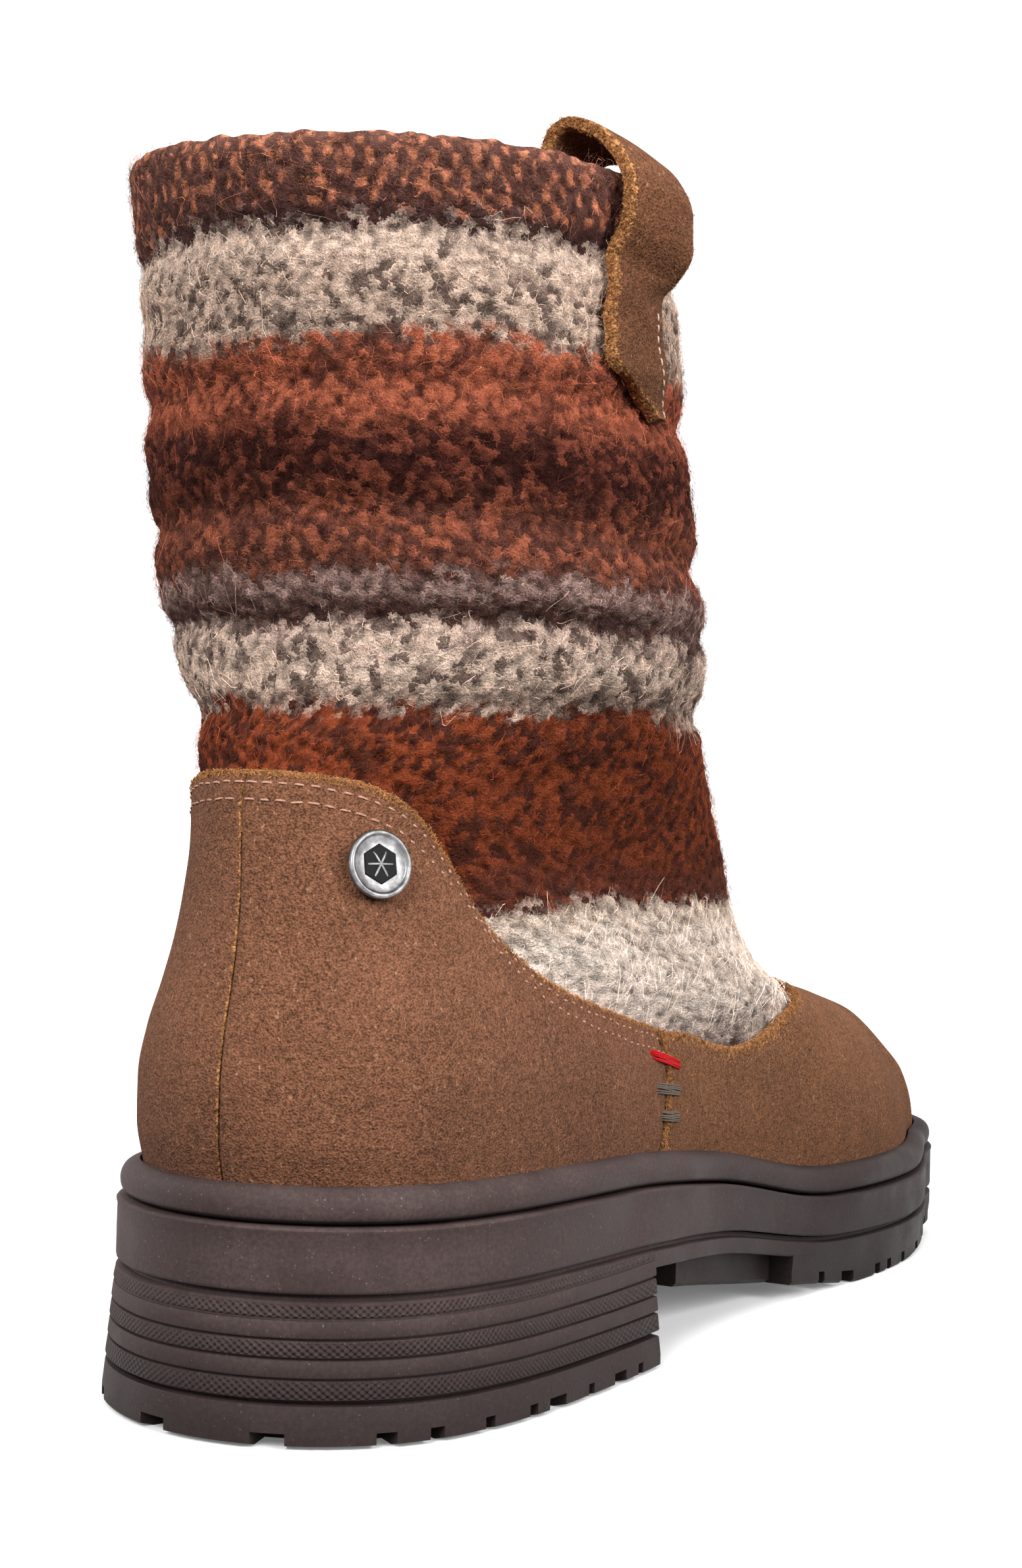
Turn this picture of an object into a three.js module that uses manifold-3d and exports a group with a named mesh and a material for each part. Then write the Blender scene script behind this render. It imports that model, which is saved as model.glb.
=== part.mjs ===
// A left ankle bootie with a slouchy knitted shaft, suede overlays and a lugged rubber sole.
// Sizes are millimetres. Y runs from the heel to the toe, X to the medial side and Z up.
// The tables measure Y from the back of the sole. The last lines move the origin under the heel.
import * as THREE from "three";
import Module from "manifold-3d";

// Driving sizes
const sole = { backY: 0, toeY: 278.3, columns: 56 };
const shaft = { halfWidth: 50, centreX: -1.4 };
const gap = 0.3; // between pieces that touch
const suede = { thick: 1.7 };
const knit = { wall: 2.45, hemWall: 4.4, hemBottom: 197, hemBlend: 4 };
const panels = { quarterColumns: 10, vampColumns: 11, rows: 10, seamTopV: 3.1 };
const heel = { breastY: 90, flare: 2, frameX: 1, frameY: 45 };
const treadStartY = 163;
const plateThick = 4.3;

// The sole's outline: half breadths on both sides of x = 0
const outline = [
  { y: 4, medial: 16.9, lateral: 15.2 },
  { y: 14, medial: 28.3, lateral: 28.0 },
  { y: 34, medial: 35.9, lateral: 36.2 },
  { y: 64, medial: 38.1, lateral: 36.8 },
  { y: 98, medial: 37.1, lateral: 36.6 },
  { y: 130, medial: 33.9, lateral: 39.0 },
  { y: 165, medial: 35.3, lateral: 45.0 },
  { y: 198, medial: 38.7, lateral: 49.5 },
  { y: 230, medial: 37.6, lateral: 45.5 },
  { y: 256, medial: 30.8, lateral: 34.0 },
  { y: 272, medial: 21.6, lateral: 18.5 },
];
const midline = [
  { y: 0, x: 1.3 },
  { y: 60, x: 1.0 },
  { y: 130, x: -1.0 },
  { y: 200, x: -3.5 },
  { y: 278.3, x: -1.8 },
];
// Heights of the midsole band's two edges above the floor
const band = [
  { y: 0, top: 35.0, bottom: 24.4 },
  { y: 80, top: 33.4, bottom: 23.0 },
  { y: 130, top: 28.6, bottom: 19.2 },
  { y: 185, top: 20.0, bottom: 11.6 },
  { y: 235, top: 19.2, bottom: 10.6 },
  { y: 280, top: 24.2, bottom: 13.4 },
];
// The forefoot's underside: flat from the ball forwards, then toe spring
const underside = [
  { y: 118, z: 9.5 },
  { y: 150, z: 5.0 },
  { y: 165, z: 3.2 },
  { y: 178, z: 1.7 },
  { y: 190, z: 0.35 },
  { y: 196, z: 0 },
  { y: 224, z: 0 },
  { y: 240, z: 0.8 },
  { y: 260, z: 2.6 },
  { y: 280, z: 4.8 },
];
// Sections of the upper over the last, from the sole to the rim. Each runs round from its back
// point to its front point: share scales its breadth, round 0 follows the sole and 1 is an ellipse.
const sections = [
  { name: "base", backY: 4.4, backZ: 35.4, frontY: 273.5, frontZ: 23.9, share: 0.885, round: 0 },
  { name: "feather", backY: 3.5, backZ: 40, frontY: 273.8, frontZ: 27.5, share: 0.892, round: 0 },
  { name: "low", backY: 1.8, backZ: 48, frontY: 270.8, frontZ: 35.2, share: 0.908, round: 0 },
  { name: "bulge", backY: 1.7, backZ: 56, frontY: 265.1, frontZ: 42.6, share: 0.899, round: 0 },
  { name: "toe_top", backY: 2.7, backZ: 64, frontY: 255.2, frontZ: 49.3, share: 0.861, round: 0.05 },
  { name: "toe_back", backY: 4.7, backZ: 72, frontY: 241, frontZ: 56.4, share: 0.799, round: 0.12 },
  { name: "vamp", backY: 6.6, backZ: 80, frontY: 219.7, frontZ: 61.6, share: 0.744, round: 0.25 },
  { name: "throat", backY: 7.8, backZ: 88, frontY: 195.6, frontZ: 66.5, share: 0.695, round: 0.4 },
  { name: "tongue", backY: 8.4, backZ: 96, frontY: 179.1, frontZ: 78.5, share: 0.661, round: 0.6 },
  { name: "instep", backY: 9.2, backZ: 104, frontY: 170.6, frontZ: 92, share: 0.683, round: 0.8 },
  { name: "ankle", backY: 13.9, backZ: 112, frontY: 158.5, frontZ: 103, share: 0.738, round: 0.95 },
  { name: "ankle_fold", backY: 18.3, backZ: 120, frontY: 141.5, frontZ: 116, share: 0.836, round: 1 },
  { name: "low_shaft", backY: 18.6, backZ: 130, frontY: 130, frontZ: 128, share: 0.935, round: 1 },
  { name: "mid_shaft", backY: 16.4, backZ: 142, frontY: 124.4, frontZ: 141, share: 0.975, round: 1 },
  { name: "shaft", backY: 13.2, backZ: 156, frontY: 118.4, frontZ: 155, share: 0.975, round: 1 },
  { name: "high_shaft", backY: 10.9, backZ: 170, frontY: 115, frontZ: 169, share: 0.96, round: 1 },
  { name: "upper_shaft", backY: 9.8, backZ: 184, frontY: 112.4, frontZ: 183, share: 0.955, round: 1 },
  { name: "collar", backY: 7.6, backZ: 198, frontY: 109.5, frontZ: 198, share: 0.95, round: 1 },
  { name: "rim", backY: 5, backZ: 211, frontY: 105, frontZ: 211, share: 0.956, round: 1 },
];
// Slouch folds of the shaft: each groove slopes from its height at the back to that at the front
const folds = [
  { name: "hem", backZ: 196, frontZ: 197, deep: 1.3, tall: 2.6 },
  { name: "high", backZ: 172, frontZ: 172, deep: 1.6, tall: 3.2 },
  { name: "middle", backZ: 152, frontZ: 145, deep: 1.7, tall: 3.6 },
  { name: "deep", backZ: 133, frontZ: 136, deep: 1.4, tall: 2.2 },
  { name: "ankle", backZ: 118, frontZ: 122, deep: 1.5, tall: 3.2 },
];
const foldSwell = 0.9;
// The suede's upper edge seen from the side: counter top, dip at the seam, throat
const topline = [
  { y: -10, z: 107.6 },
  { y: 10, z: 107.8 },
  { y: 16, z: 107 },
  { y: 23, z: 104.6 },
  { y: 30, z: 99.6 },
  { y: 36.5, z: 91.9 },
  { y: 43, z: 82.8 },
  { y: 59, z: 72.6 },
  { y: 81, z: 65.9 },
  { y: 107, z: 60.5 },
  { y: 118, z: 59.4 },
  { y: 133, z: 56 },
  { y: 142, z: 55 },
  { y: 154, z: 56.6 },
  { y: 165, z: 60 },
  { y: 176, z: 63.4 },
  { y: 186, z: 66.6 },
  { y: 200, z: 74 },
];
const backSeamU = 0.0012; // half the gap between the quarters
const knitRows = [
  10.5, 11, 11.5, 12, 12.4, 12.8, 13.2, 13.6, 14, 14.4, 14.8, 15.2, 15.7, 16.1, 16.5, 16.85, 17.2, 17.6,
];
const tuck = { deep: suede.thick + 2.2 * gap, start: 0.6, tall: 9 };
const sideSeam = { lowY: 101.2, lowZ: 36, highY: 107.4, highZ: 61 };
// The rounded rubber bead: across 0 lies against the suede, 1 on the sole's outline
const bead = [
  { name: "inner foot", across: 0, up: 0.5 },
  { name: "outer foot", across: 0.6, up: 0.5 },
  { name: "undercut", across: 0.82, up: 1.3 },
  { name: "bulge", across: 0.9, up: 3.0 },
  { name: "shoulder", across: 0.74, up: 4.9 },
  { name: "crown", across: 0.36, up: 6.1 },
  { name: "inner top", across: 0, up: 6.2 },
];
const beadSlack = 0.25;
// Grooves round the heel stack, given by their top and bottom at the back and at the breast
const heelGrooves = [
  { name: "tread", backLow: 6.9, backHigh: 7.9, breastLow: 5.9, breastHigh: 6.9, deep: 1.8 },
  { name: "line_4", backLow: 10.8, backHigh: 11.3, breastLow: 10, breastHigh: 10.5, deep: 0.8 },
  { name: "line_3", backLow: 14.0, backHigh: 14.5, breastLow: 13.1, breastHigh: 13.6, deep: 0.8 },
  { name: "line_2", backLow: 17.0, backHigh: 17.5, breastLow: 16.4, breastHigh: 16.9, deep: 0.8 },
  { name: "line_1", backLow: 20.2, backHigh: 20.7, breastLow: 19.6, breastHigh: 20.1, deep: 0.8 },
];
const seamGroove = { deep: 1.7, tall: 1.0 };
// Notches in the edge of the tread, cut on both sides, and those round the heel's back
const edgeNotches = [
  { name: "heel_a", y: 12.8, wide: 2.6, deep: 5 },
  { name: "heel_b", y: 20.2, wide: 2.4, deep: 5 },
  { name: "heel_c", y: 31, wide: 2.2, deep: 5 },
  { name: "heel_d", y: 42.3, wide: 2.2, deep: 5 },
  { name: "heel_e", y: 49.8, wide: 5.4, deep: 7 },
  { name: "heel_f", y: 61.5, wide: 2, deep: 5 },
  { name: "heel_g", y: 72.6, wide: 4.6, deep: 7 },
  { name: "heel_h", y: 81, wide: 2, deep: 5 },
  { name: "ball_a", y: 176.9, wide: 2.4, deep: 6 },
  { name: "ball_b", y: 188.4, wide: 5.4, deep: 8 },
  { name: "ball_c", y: 204, wide: 3, deep: 6 },
  { name: "ball_d", y: 211.4, wide: 2.6, deep: 6 },
  { name: "toe_a", y: 221.7, wide: 2.4, deep: 6 },
  { name: "toe_b", y: 235, wide: 3.2, deep: 8 },
  { name: "toe_c", y: 247, wide: 2.6, deep: 6 },
  { name: "toe_d", y: 258, wide: 3.2, deep: 8 },
  { name: "toe_e", y: 268, wide: 2.6, deep: 6 },
];
const backNotches = [
  { name: "back_medial", x: 12.6, wide: 4, deep: 6 },
  { name: "back_lateral", x: -8.4, wide: 4, deep: 6 },
];
const wideNotch = { y: 158.6, wide: 19, deep: 9, tall: 3 };
const notchTall = 2.5;
const crossGrooves = [
  { name: "heel_front", y: 72.6, wide: 3, half: 24 },
  { name: "heel_back", y: 20.2, wide: 3, half: 18 },
  { name: "ball", y: 188.4, wide: 3.4, half: 26 },
  { name: "toe", y: 235, wide: 3, half: 24 },
];
// The block under the waist that the forefoot tread starts from
const waistBlock = { startY: 118, endY: 168, inset: 5.5 };
// The pull loop's outer face, from its sewn outer end over the rim to its inner end
const loop = { nearY: 46, farY: 60, farLean: 3.5, thick: 2.4, farOut: 4.0, farDrop: 3.4, refZ: 205 };
const loopPath = [
  { name: "tip", z: 170.5, out: 3.15 },
  { name: "strip", z: 178, out: 3.15 },
  { name: "strip_top", z: 186, out: 3.15 },
  { name: "lift", z: 192, out: 3.25 },
  { name: "flare", z: 197, out: 3.9 },
  { name: "bulge", z: 202.5, out: 5.0 },
  { name: "outer", z: 208, out: 4.9 },
  { name: "shoulder", z: 214, out: 2.2 },
  { name: "top", z: 219, out: -3.2 },
  { name: "crown", z: 220.6, out: -8.2 },
  { name: "inner_bend", z: 218.6, out: -12.2 },
  { name: "inner", z: 213, out: -13.8 },
  { name: "inner_leg", z: 206, out: -11.4 },
  { name: "inner_end", z: 198, out: -8 },
  { name: "inner_tip", z: 188, out: -6.8 },
];
const loopTip = { fromZ: 183, toZ: 170.5, lowY: 61 };
const button = { y: 20.3, z: 92.5, radius: 5.75, stem: 2.6, thick: 2.0, dish: 0.35, rim: 0.9 };

// Curves through tables
const lerp = (a, b, t) => a + (b - a) * t;
const clamp01 = (t) => Math.min(1, Math.max(0, t));
const smooth = (t) => clamp01(t) ** 2 * (3 - 2 * clamp01(t));

// A smooth curve through points (x, y) that never overshoots them, flat beyond its ends.
function curve(points) {
  const n = points.length;
  const slope = (i) => (points[i + 1][1] - points[i][1]) / (points[i + 1][0] - points[i][0]);
  const tangents = points.map((_, i) => {
    if (i === 0) return slope(0);
    if (i === n - 1) return slope(n - 2);
    const [a, b] = [slope(i - 1), slope(i)];
    return a * b <= 0 ? 0 : (2 * a * b) / (a + b);
  });
  return (x) => {
    if (x <= points[0][0]) return points[0][1];
    if (x >= points[n - 1][0]) return points[n - 1][1];
    let i = 0;
    while (x > points[i + 1][0]) i++;
    const h = points[i + 1][0] - points[i][0];
    const t = (x - points[i][0]) / h;
    const along = t * t * (3 - 2 * t);
    const bend = h * t * (1 - t) * ((1 - t) * tangents[i] - t * tangents[i + 1]);
    return lerp(points[i][1], points[i + 1][1], along) + bend;
  };
}
const column = (rows, x, y) => curve(rows.map((row) => [row[x], row[y]]));

const midlineX = column(midline, "y", "x");
const bandTop = column(band, "y", "top");
const bandBottom = column(band, "y", "bottom");
const floorZ = column(underside, "y", "z");
const edgeZ = column(topline, "y", "z");

// Half breadth of one side divided by that of an ellipse of the same length.
function sideShape(side) {
  const rows = outline.map((row) => {
    const share = (row.y - sole.backY) / (sole.toeY - sole.backY);
    const x = side === "medial" ? row.medial - midlineX(row.y) : row.lateral + midlineX(row.y);
    return [share, x / (2 * Math.sqrt(share * (1 - share)))];
  });
  return curve([[0, rows[0][1] * 1.03], ...rows, [1, rows[rows.length - 1][1]]]);
}
const shape = { medial: sideShape("medial"), lateral: sideShape("lateral") };

// A place round the shoe: 0 back, 0.25 medial, 0.5 toe, 0.75 lateral.
function around(u) {
  const turn = ((u % 1) + 1) % 1;
  const medial = turn <= 0.5;
  const share = (1 - Math.cos(Math.PI * (medial ? 2 * turn : 2 - 2 * turn))) / 2;
  const swell = 2 * Math.sqrt(share * (1 - share));
  return { sign: medial ? 1 : -1, side: medial ? "medial" : "lateral", share, swell };
}

// The sole
function outlineAt(u) {
  const { sign, side, share, swell } = around(u);
  const y = lerp(sole.backY, sole.toeY, share);
  return new THREE.Vector2(midlineX(y) + sign * swell * shape[side](share), y);
}
function outwards(u) {
  const along = outlineAt(u + 0.002).sub(outlineAt(u - 0.002)).normalize();
  return new THREE.Vector2(along.y, -along.x);
}
// A ring round the sole: inset(u, y) in from the outline, at height z(y).
function soleRing(inset, z, columns = sole.columns) {
  return Array.from({ length: columns }, (_, i) => {
    const u = i / columns;
    const p = outlineAt(u);
    const q = p.clone().addScaledVector(outwards(u), -inset);
    return new THREE.Vector3(q.x, q.y, z(p.y));
  });
}

// The upper's outer form
const sectionCurves = Object.fromEntries(
  ["backY", "backZ", "frontY", "frontZ", "share", "round"].map((key) => [
    key,
    curve(sections.map((row, i) => [i, row[key]])),
  ]),
);
const topV = sections.length - 1;

function lastAt(u, v) {
  const { sign, side, share, swell } = around(u);
  const row = Object.fromEntries(Object.entries(sectionCurves).map(([key, f]) => [key, f(v)]));
  const y = lerp(row.backY, row.frontY, share);
  const half = lerp(row.share * shape[side](share), row.share * shaft.halfWidth, row.round);
  const x = lerp(midlineX(y), shaft.centreX, row.round) + sign * swell * half;
  const level = lerp(row.backZ, row.frontZ, share);
  const rise = bandTop(y) - lerp(bandTop(row.backY), bandTop(row.frontY), share);
  return new THREE.Vector3(x, y, level + (1 - row.round) * rise);
}
function lastNormal(u, v) {
  const low = Math.max(0, v - 0.02);
  const high = Math.min(topV, v + 0.02);
  const along = lastAt(u + 0.002, v).sub(lastAt(u - 0.002, v));
  return along.cross(lastAt(u, high).sub(lastAt(u, low))).normalize();
}
const skin = (u, v, out) => lastAt(u, v).addScaledVector(lastNormal(u, v), out);

// How far the knit stands out from the form: tucked under the suede, swelling between folds.
function knitOut(u, v) {
  const p = lastAt(u, v);
  const above = smooth((p.z - edgeZ(p.y) - tuck.start) / tuck.tall);
  const { share } = around(u);
  const valleys = folds.reduce((sum, fold) => {
    const z = lerp(fold.backZ, fold.frontZ, share);
    return sum + fold.deep * Math.exp(-(((p.z - z) / fold.tall) ** 2));
  }, 0);
  return lerp(-tuck.deep, foldSwell - valleys, above);
}
const knitWall = (z) => lerp(knit.wall, knit.hemWall, smooth((z - knit.hemBottom) / knit.hemBlend + 1));

// Smallest t between low and high where f turns positive.
function crossing(f, low, high) {
  for (let i = 0; i < 40; i++) {
    const mid = (low + high) / 2;
    if (f(mid) > 0) high = mid;
    else low = mid;
  }
  return high;
}
const vAtRise = (u, up) =>
  crossing((v) => {
    const p = lastAt(u, v);
    return p.z - bandTop(p.y) - up;
  }, 0, 4);
const seamY = (z) =>
  lerp(sideSeam.lowY, sideSeam.highY, clamp01((z - sideSeam.lowZ) / (sideSeam.highZ - sideSeam.lowZ)));

// The place round the form where it crosses the side seam at height v, on the medial side.
const seamU = (v, shift) =>
  crossing((u) => {
    const p = lastAt(u, v);
    return p.y + shift - seamY(p.z);
  }, 0.05, 0.45);
// Columns up the form. The quarters' run from the back seam to the side seam, the vamp's on to the toe.
const quarterU = (t, shift = 0) => (v) => t * seamU(Math.min(v, panels.seamTopV), shift);
const vampU = (t, shift = 0) => (v) => lerp(seamU(Math.min(v, panels.seamTopV), shift), 0.5, t);
const mirrored = (uAt) => (v) => 1 - uAt(v);
// Where a column meets the topline.
const edgeV = (uAt) =>
  crossing((v) => {
    const p = lastAt(uAt(v), v);
    return p.z - edgeZ(p.y);
  }, 0.5, 9.6);
// Every column round the form, from the back by the medial side, with its edge.
function formColumns() {
  const { quarterColumns, vampColumns } = panels;
  const medial = [
    ...Array.from({ length: quarterColumns }, (_, i) => quarterU(i / quarterColumns)),
    ...Array.from({ length: vampColumns + 1 }, (_, i) => vampU(i / vampColumns)),
  ];
  const lateral = medial.slice(1, -1).reverse().map(mirrored);
  return [...medial, ...lateral].map((uAt) => ({ uAt, edge: edgeV(uAt) }));
}
const columns = formColumns();

// Solids from points
function solidGeometry(points, faces) {
  const geometry = new THREE.BufferGeometry().setFromPoints(points);
  geometry.setIndex(faces.filter(([a, b, c]) => a !== b && b !== c && c !== a).flat());
  geometry.computeVertexNormals();
  return geometry;
}
const quad = (a, b, c, d) => [[a, b, c], [a, c, d]];

// Rings joined one to the next; the last ring joins the first, so the wall is closed.
function wallGeometry(rings) {
  const n = rings[0].length;
  const at = (i, j) => (i % rings.length) * n + (j % n);
  const faces = rings.flatMap((ring, i) =>
    ring.flatMap((_, j) => quad(at(i, j), at(i, j + 1), at(i + 1, j + 1), at(i + 1, j))),
  );
  return solidGeometry(rings.flat(), faces);
}
// Rings from the bottom up, closed by a flat cap across each end.
function stackGeometry(rings) {
  const n = rings[0].length;
  const at = (i, j) => i * n + (j % n);
  const faces = rings
    .slice(1)
    .flatMap((ring, i) => ring.flatMap((_, j) => quad(at(i, j), at(i, j + 1), at(i + 1, j + 1), at(i + 1, j))));
  const top = rings.length - 1;
  for (let j = 0; j < n / 2; j++) {
    faces.push(...quad(at(top, j), at(top, j + 1), at(top, n - j - 1), at(top, n - j)));
    faces.push(...quad(at(0, n - j), at(0, n - j - 1), at(0, j + 1), at(0, j)));
  }
  return solidGeometry(rings.flat(), faces);
}
// A thick patch from two equal grids of points, its outer face and its inner face.
function patchGeometry(outer, inner) {
  const rows = outer.length;
  const n = outer[0].length;
  const half = rows * n;
  const at = (i, j) => i * n + j;
  const faces = [];
  for (let i = 0; i < rows - 1; i++)
    for (let j = 0; j < n - 1; j++) {
      const [a, b, c, d] = [at(i, j), at(i, j + 1), at(i + 1, j + 1), at(i + 1, j)];
      faces.push(...quad(a, b, c, d), ...quad(half + d, half + c, half + b, half + a));
    }
  const edge = [];
  for (let j = 0; j < n - 1; j++) edge.push(at(0, j));
  for (let i = 0; i < rows - 1; i++) edge.push(at(i, n - 1));
  for (let j = n - 1; j > 0; j--) edge.push(at(rows - 1, j));
  for (let i = rows - 1; i > 0; i--) edge.push(at(i, 0));
  edge.forEach((p, k) => {
    const q = edge[(k + 1) % edge.length];
    faces.push(...quad(q, p, half + p, half + q));
  });
  return solidGeometry([...outer.flat(), ...inner.flat()], faces);
}

// Solids joined and cut with manifold-3d
const wasm = await Module();
wasm.setup();
function manifoldOf(geometry) {
  const at = geometry.getAttribute("position");
  const seen = new Map();
  const points = [];
  const corners = [];
  for (const i of geometry.index.array) {
    const p = [at.getX(i), at.getY(i), at.getZ(i)];
    const key = p.map((value) => value.toFixed(4)).join();
    if (!seen.has(key)) {
      seen.set(key, points.length);
      points.push(p);
    }
    corners.push(seen.get(key));
  }
  return new wasm.Manifold(
    new wasm.Mesh({
      numProp: 3,
      vertProperties: new Float32Array(points.flat()),
      triVerts: new Uint32Array(corners),
    }),
  );
}
function geometryOf(manifold) {
  const mesh = manifold.getMesh();
  const geometry = new THREE.BufferGeometry();
  geometry.setAttribute("position", new THREE.BufferAttribute(mesh.vertProperties, mesh.numProp));
  geometry.setIndex(new THREE.BufferAttribute(mesh.triVerts, 1));
  geometry.computeVertexNormals();
  return geometry;
}
function block(x, y, z, wide, long, tall, turn = 0) {
  const geometry = new THREE.BoxGeometry(wide, long, tall);
  return manifoldOf(geometry.rotateZ(turn).translate(x, y, z));
}

// Sub-parts of the sole
function midsoleGeometry() {
  const rows = [
    { inset: 1.0, up: 0 },
    { inset: 0.2, up: 0.05 },
    { inset: 0, up: 0.5 },
    { inset: 0.1, up: 0.96 },
    { inset: 0.6, up: 1 },
  ];
  return stackGeometry(
    rows.map((row) => soleRing(row.inset, (y) => lerp(bandBottom(y), bandTop(y), row.up))),
  );
}

function beadGeometry() {
  const rings = bead.map(({ across, up }) =>
    columns.map(({ uAt }) => {
      const v = vAtRise(uAt(0.5), up);
      const inner = skin(uAt(v), v, gap + beadSlack);
      const outer = outlineAt(uAt(v));
      const y = lerp(inner.y, outer.y, across);
      return new THREE.Vector3(lerp(inner.x, outer.x, across), y, bandTop(y) + up);
    }),
  );
  return wallGeometry(rings);
}

function plate() {
  const top = (y) => bandBottom(y) - gap;
  return manifoldOf(
    stackGeometry([
      soleRing(0.5, (y) => top(y) - plateThick),
      soleRing(0, (y) => top(y) - plateThick + 0.5),
      soleRing(0, (y) => top(y) - seamGroove.tall),
      soleRing(seamGroove.deep, (y) => top(y) - seamGroove.tall + 0.2),
      soleRing(seamGroove.deep + 0.3, top),
    ]),
  );
}

function heelStack() {
  const slope = (back, breast) => (y) => lerp(back, breast, clamp01(y / heel.breastY));
  const inset = (z) => -heel.flare * clamp01(1 - z / band[0].bottom);
  const rings = [soleRing(inset(0) + 0.7, slope(0, 0)), soleRing(inset(0), slope(0.8, 0.8))];
  for (const groove of heelGrooves) {
    const middle = (groove.backLow + groove.backHigh) / 2;
    const wall = (groove.backHigh - groove.backLow) / 5;
    const low = slope(groove.backLow, groove.breastLow);
    const high = slope(groove.backHigh, groove.breastHigh);
    rings.push(soleRing(inset(middle), low));
    rings.push(soleRing(inset(middle) + groove.deep, (y) => low(y) + wall));
    rings.push(soleRing(inset(middle) + groove.deep, (y) => high(y) - wall));
    rings.push(soleRing(inset(middle), high));
  }
  rings.push(soleRing(0, (y) => bandBottom(y) - gap - seamGroove.tall - 0.05));
  rings.push(soleRing(seamGroove.deep, (y) => bandBottom(y) - gap - seamGroove.tall + 0.1));
  const length = heel.breastY + 20;
  return manifoldOf(stackGeometry(rings)).intersect(
    block(0, heel.breastY - length / 2, 15, 120, length, 60),
  );
}

function forefootTread() {
  const top = (y) => bandBottom(y) - gap - seamGroove.tall - 0.3;
  const full = manifoldOf(
    stackGeometry([
      soleRing(1.0, floorZ),
      soleRing(0.3, (y) => floorZ(y) + 0.8),
      soleRing(0, (y) => lerp(floorZ(y), top(y), 0.75)),
      soleRing(0.05, top),
    ]),
  );
  const rear = manifoldOf(
    stackGeometry([
      soleRing(waistBlock.inset + 0.8, floorZ, 40),
      soleRing(waistBlock.inset, (y) => floorZ(y) + 0.8, 40),
      soleRing(waistBlock.inset, top, 40),
    ]),
  );
  const length = 160;
  const { startY, endY } = waistBlock;
  return full
    .intersect(block(0, treadStartY + length / 2, 10, 140, length, 60))
    .add(rear.intersect(block(0, (startY + endY) / 2, 10, 140, endY - startY, 60)));
}

// A box that reaches in from the outline at u, its top at the given height.
function notchAt(u, wide, deep, top) {
  const p = outlineAt(u);
  const n = outwards(u);
  const reach = deep + 8;
  const centre = p.clone().addScaledVector(n, 8 - reach / 2);
  return block(centre.x, centre.y, top - 10, reach, wide, 20, Math.atan2(n.y, n.x));
}
function uAtY(y, side) {
  const share = (y - sole.backY) / (sole.toeY - sole.backY);
  const half = Math.acos(1 - 2 * share) / Math.PI / 2;
  return side === "medial" ? half : 1 - half;
}
const treadZ = (y) => (y < heel.breastY ? 0 : floorZ(y));

function outsoleGeometry() {
  let made = plate().add(heelStack()).add(forefootTread());
  for (const side of ["medial", "lateral"]) {
    for (const { y, wide, deep } of edgeNotches)
      made = made.subtract(notchAt(uAtY(y, side), wide, deep, treadZ(y) + notchTall));
    const { y, wide, deep, tall } = wideNotch;
    made = made.subtract(notchAt(uAtY(y, side), wide, deep, treadZ(y + 6) + tall));
  }
  for (const { x, wide, deep } of backNotches) {
    const u = crossing((t) => outlineAt(t).x - x, -0.12, 0.12);
    made = made.subtract(notchAt(u, wide, deep, notchTall));
  }
  for (const { y, wide, half } of crossGrooves)
    made = made.subtract(block(midlineX(y), y, treadZ(y) + notchTall - 10, 2 * half, wide, 20));
  return geometryOf(made);
}

// Sub-parts of the upper
function upperGeometry() {
  const ringAt = (vOf, depth, lift = 0) =>
    columns.map(({ uAt, edge }) => {
      const v = vOf(edge);
      const p = skin(uAt(v), v, knitOut(uAt(v), v) - depth(v));
      p.z += lift;
      return p;
    });
  const low = Array.from({ length: panels.rows + 1 }, (_, i) => (edge) => (edge * i) / panels.rows);
  const throat = [0.1, 0.3, 0.55, 0.78].map((t) => (edge) => lerp(edge, knitRows[0], t));
  const high = knitRows.map((v) => () => v);
  const outside = [...low, ...throat, ...high];
  const inside = outside.filter((_, i) => (i <= panels.rows ? i % 2 === 0 : i % 3 === 0)).reverse();
  const wall = (v) => knitWall(sectionCurves.backZ(v));
  const rim = [
    [17.85, 0.45, 0],
    [18, knit.hemWall * 0.3, 0.3],
    [18, knit.hemWall * 0.7, 0.3],
    [17.85, knit.hemWall - 0.45, 0],
  ].map(([v, depth, lift]) => ringAt(() => v, () => depth, lift));
  return wallGeometry([
    ...outside.map((vOf) => ringAt(vOf, () => 0)),
    ...rim,
    ...inside.map((vOf) => ringAt(vOf, wall)),
  ]);
}

// A suede patch over the form, up each of its columns from the sole to the topline.
function suedeGeometry(patchColumns) {
  const edges = patchColumns.map(edgeV);
  const face = (out) =>
    Array.from({ length: panels.rows + 1 }, (_, i) =>
      patchColumns.map((uAt, j) => {
        const v = (edges[j] * i) / panels.rows;
        return skin(uAt(v), v, out);
      }),
    );
  return patchGeometry(face(0), face(-suede.thick));
}
function quarterGeometry(side) {
  const n = panels.quarterColumns;
  const medial = Array.from({ length: n + 1 }, (_, i) => {
    const uAt = quarterU(i / n, gap / 2);
    return i === 0 ? () => backSeamU : uAt;
  });
  return suedeGeometry(side === "medial" ? medial : medial.map(mirrored).reverse());
}
function vampGeometry() {
  const n = panels.vampColumns;
  const medial = Array.from({ length: n + 1 }, (_, i) => vampU(i / n, -gap / 2));
  return suedeGeometry([...medial, ...medial.slice(0, -1).map(mirrored).reverse()]);
}

function insoleGeometry() {
  const inset = tuck.deep + knit.wall + 0.8;
  const ring = (up, extra) =>
    columns.map(({ uAt }) => {
      const v = vAtRise(uAt(0.5), Math.max(up, 1));
      const p = skin(uAt(v), v, -inset - extra);
      p.z = bandTop(p.y) + up;
      return p;
    });
  return stackGeometry([ring(0.45, 0), ring(2.6, 0), ring(3.3, 0.8)]);
}

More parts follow.
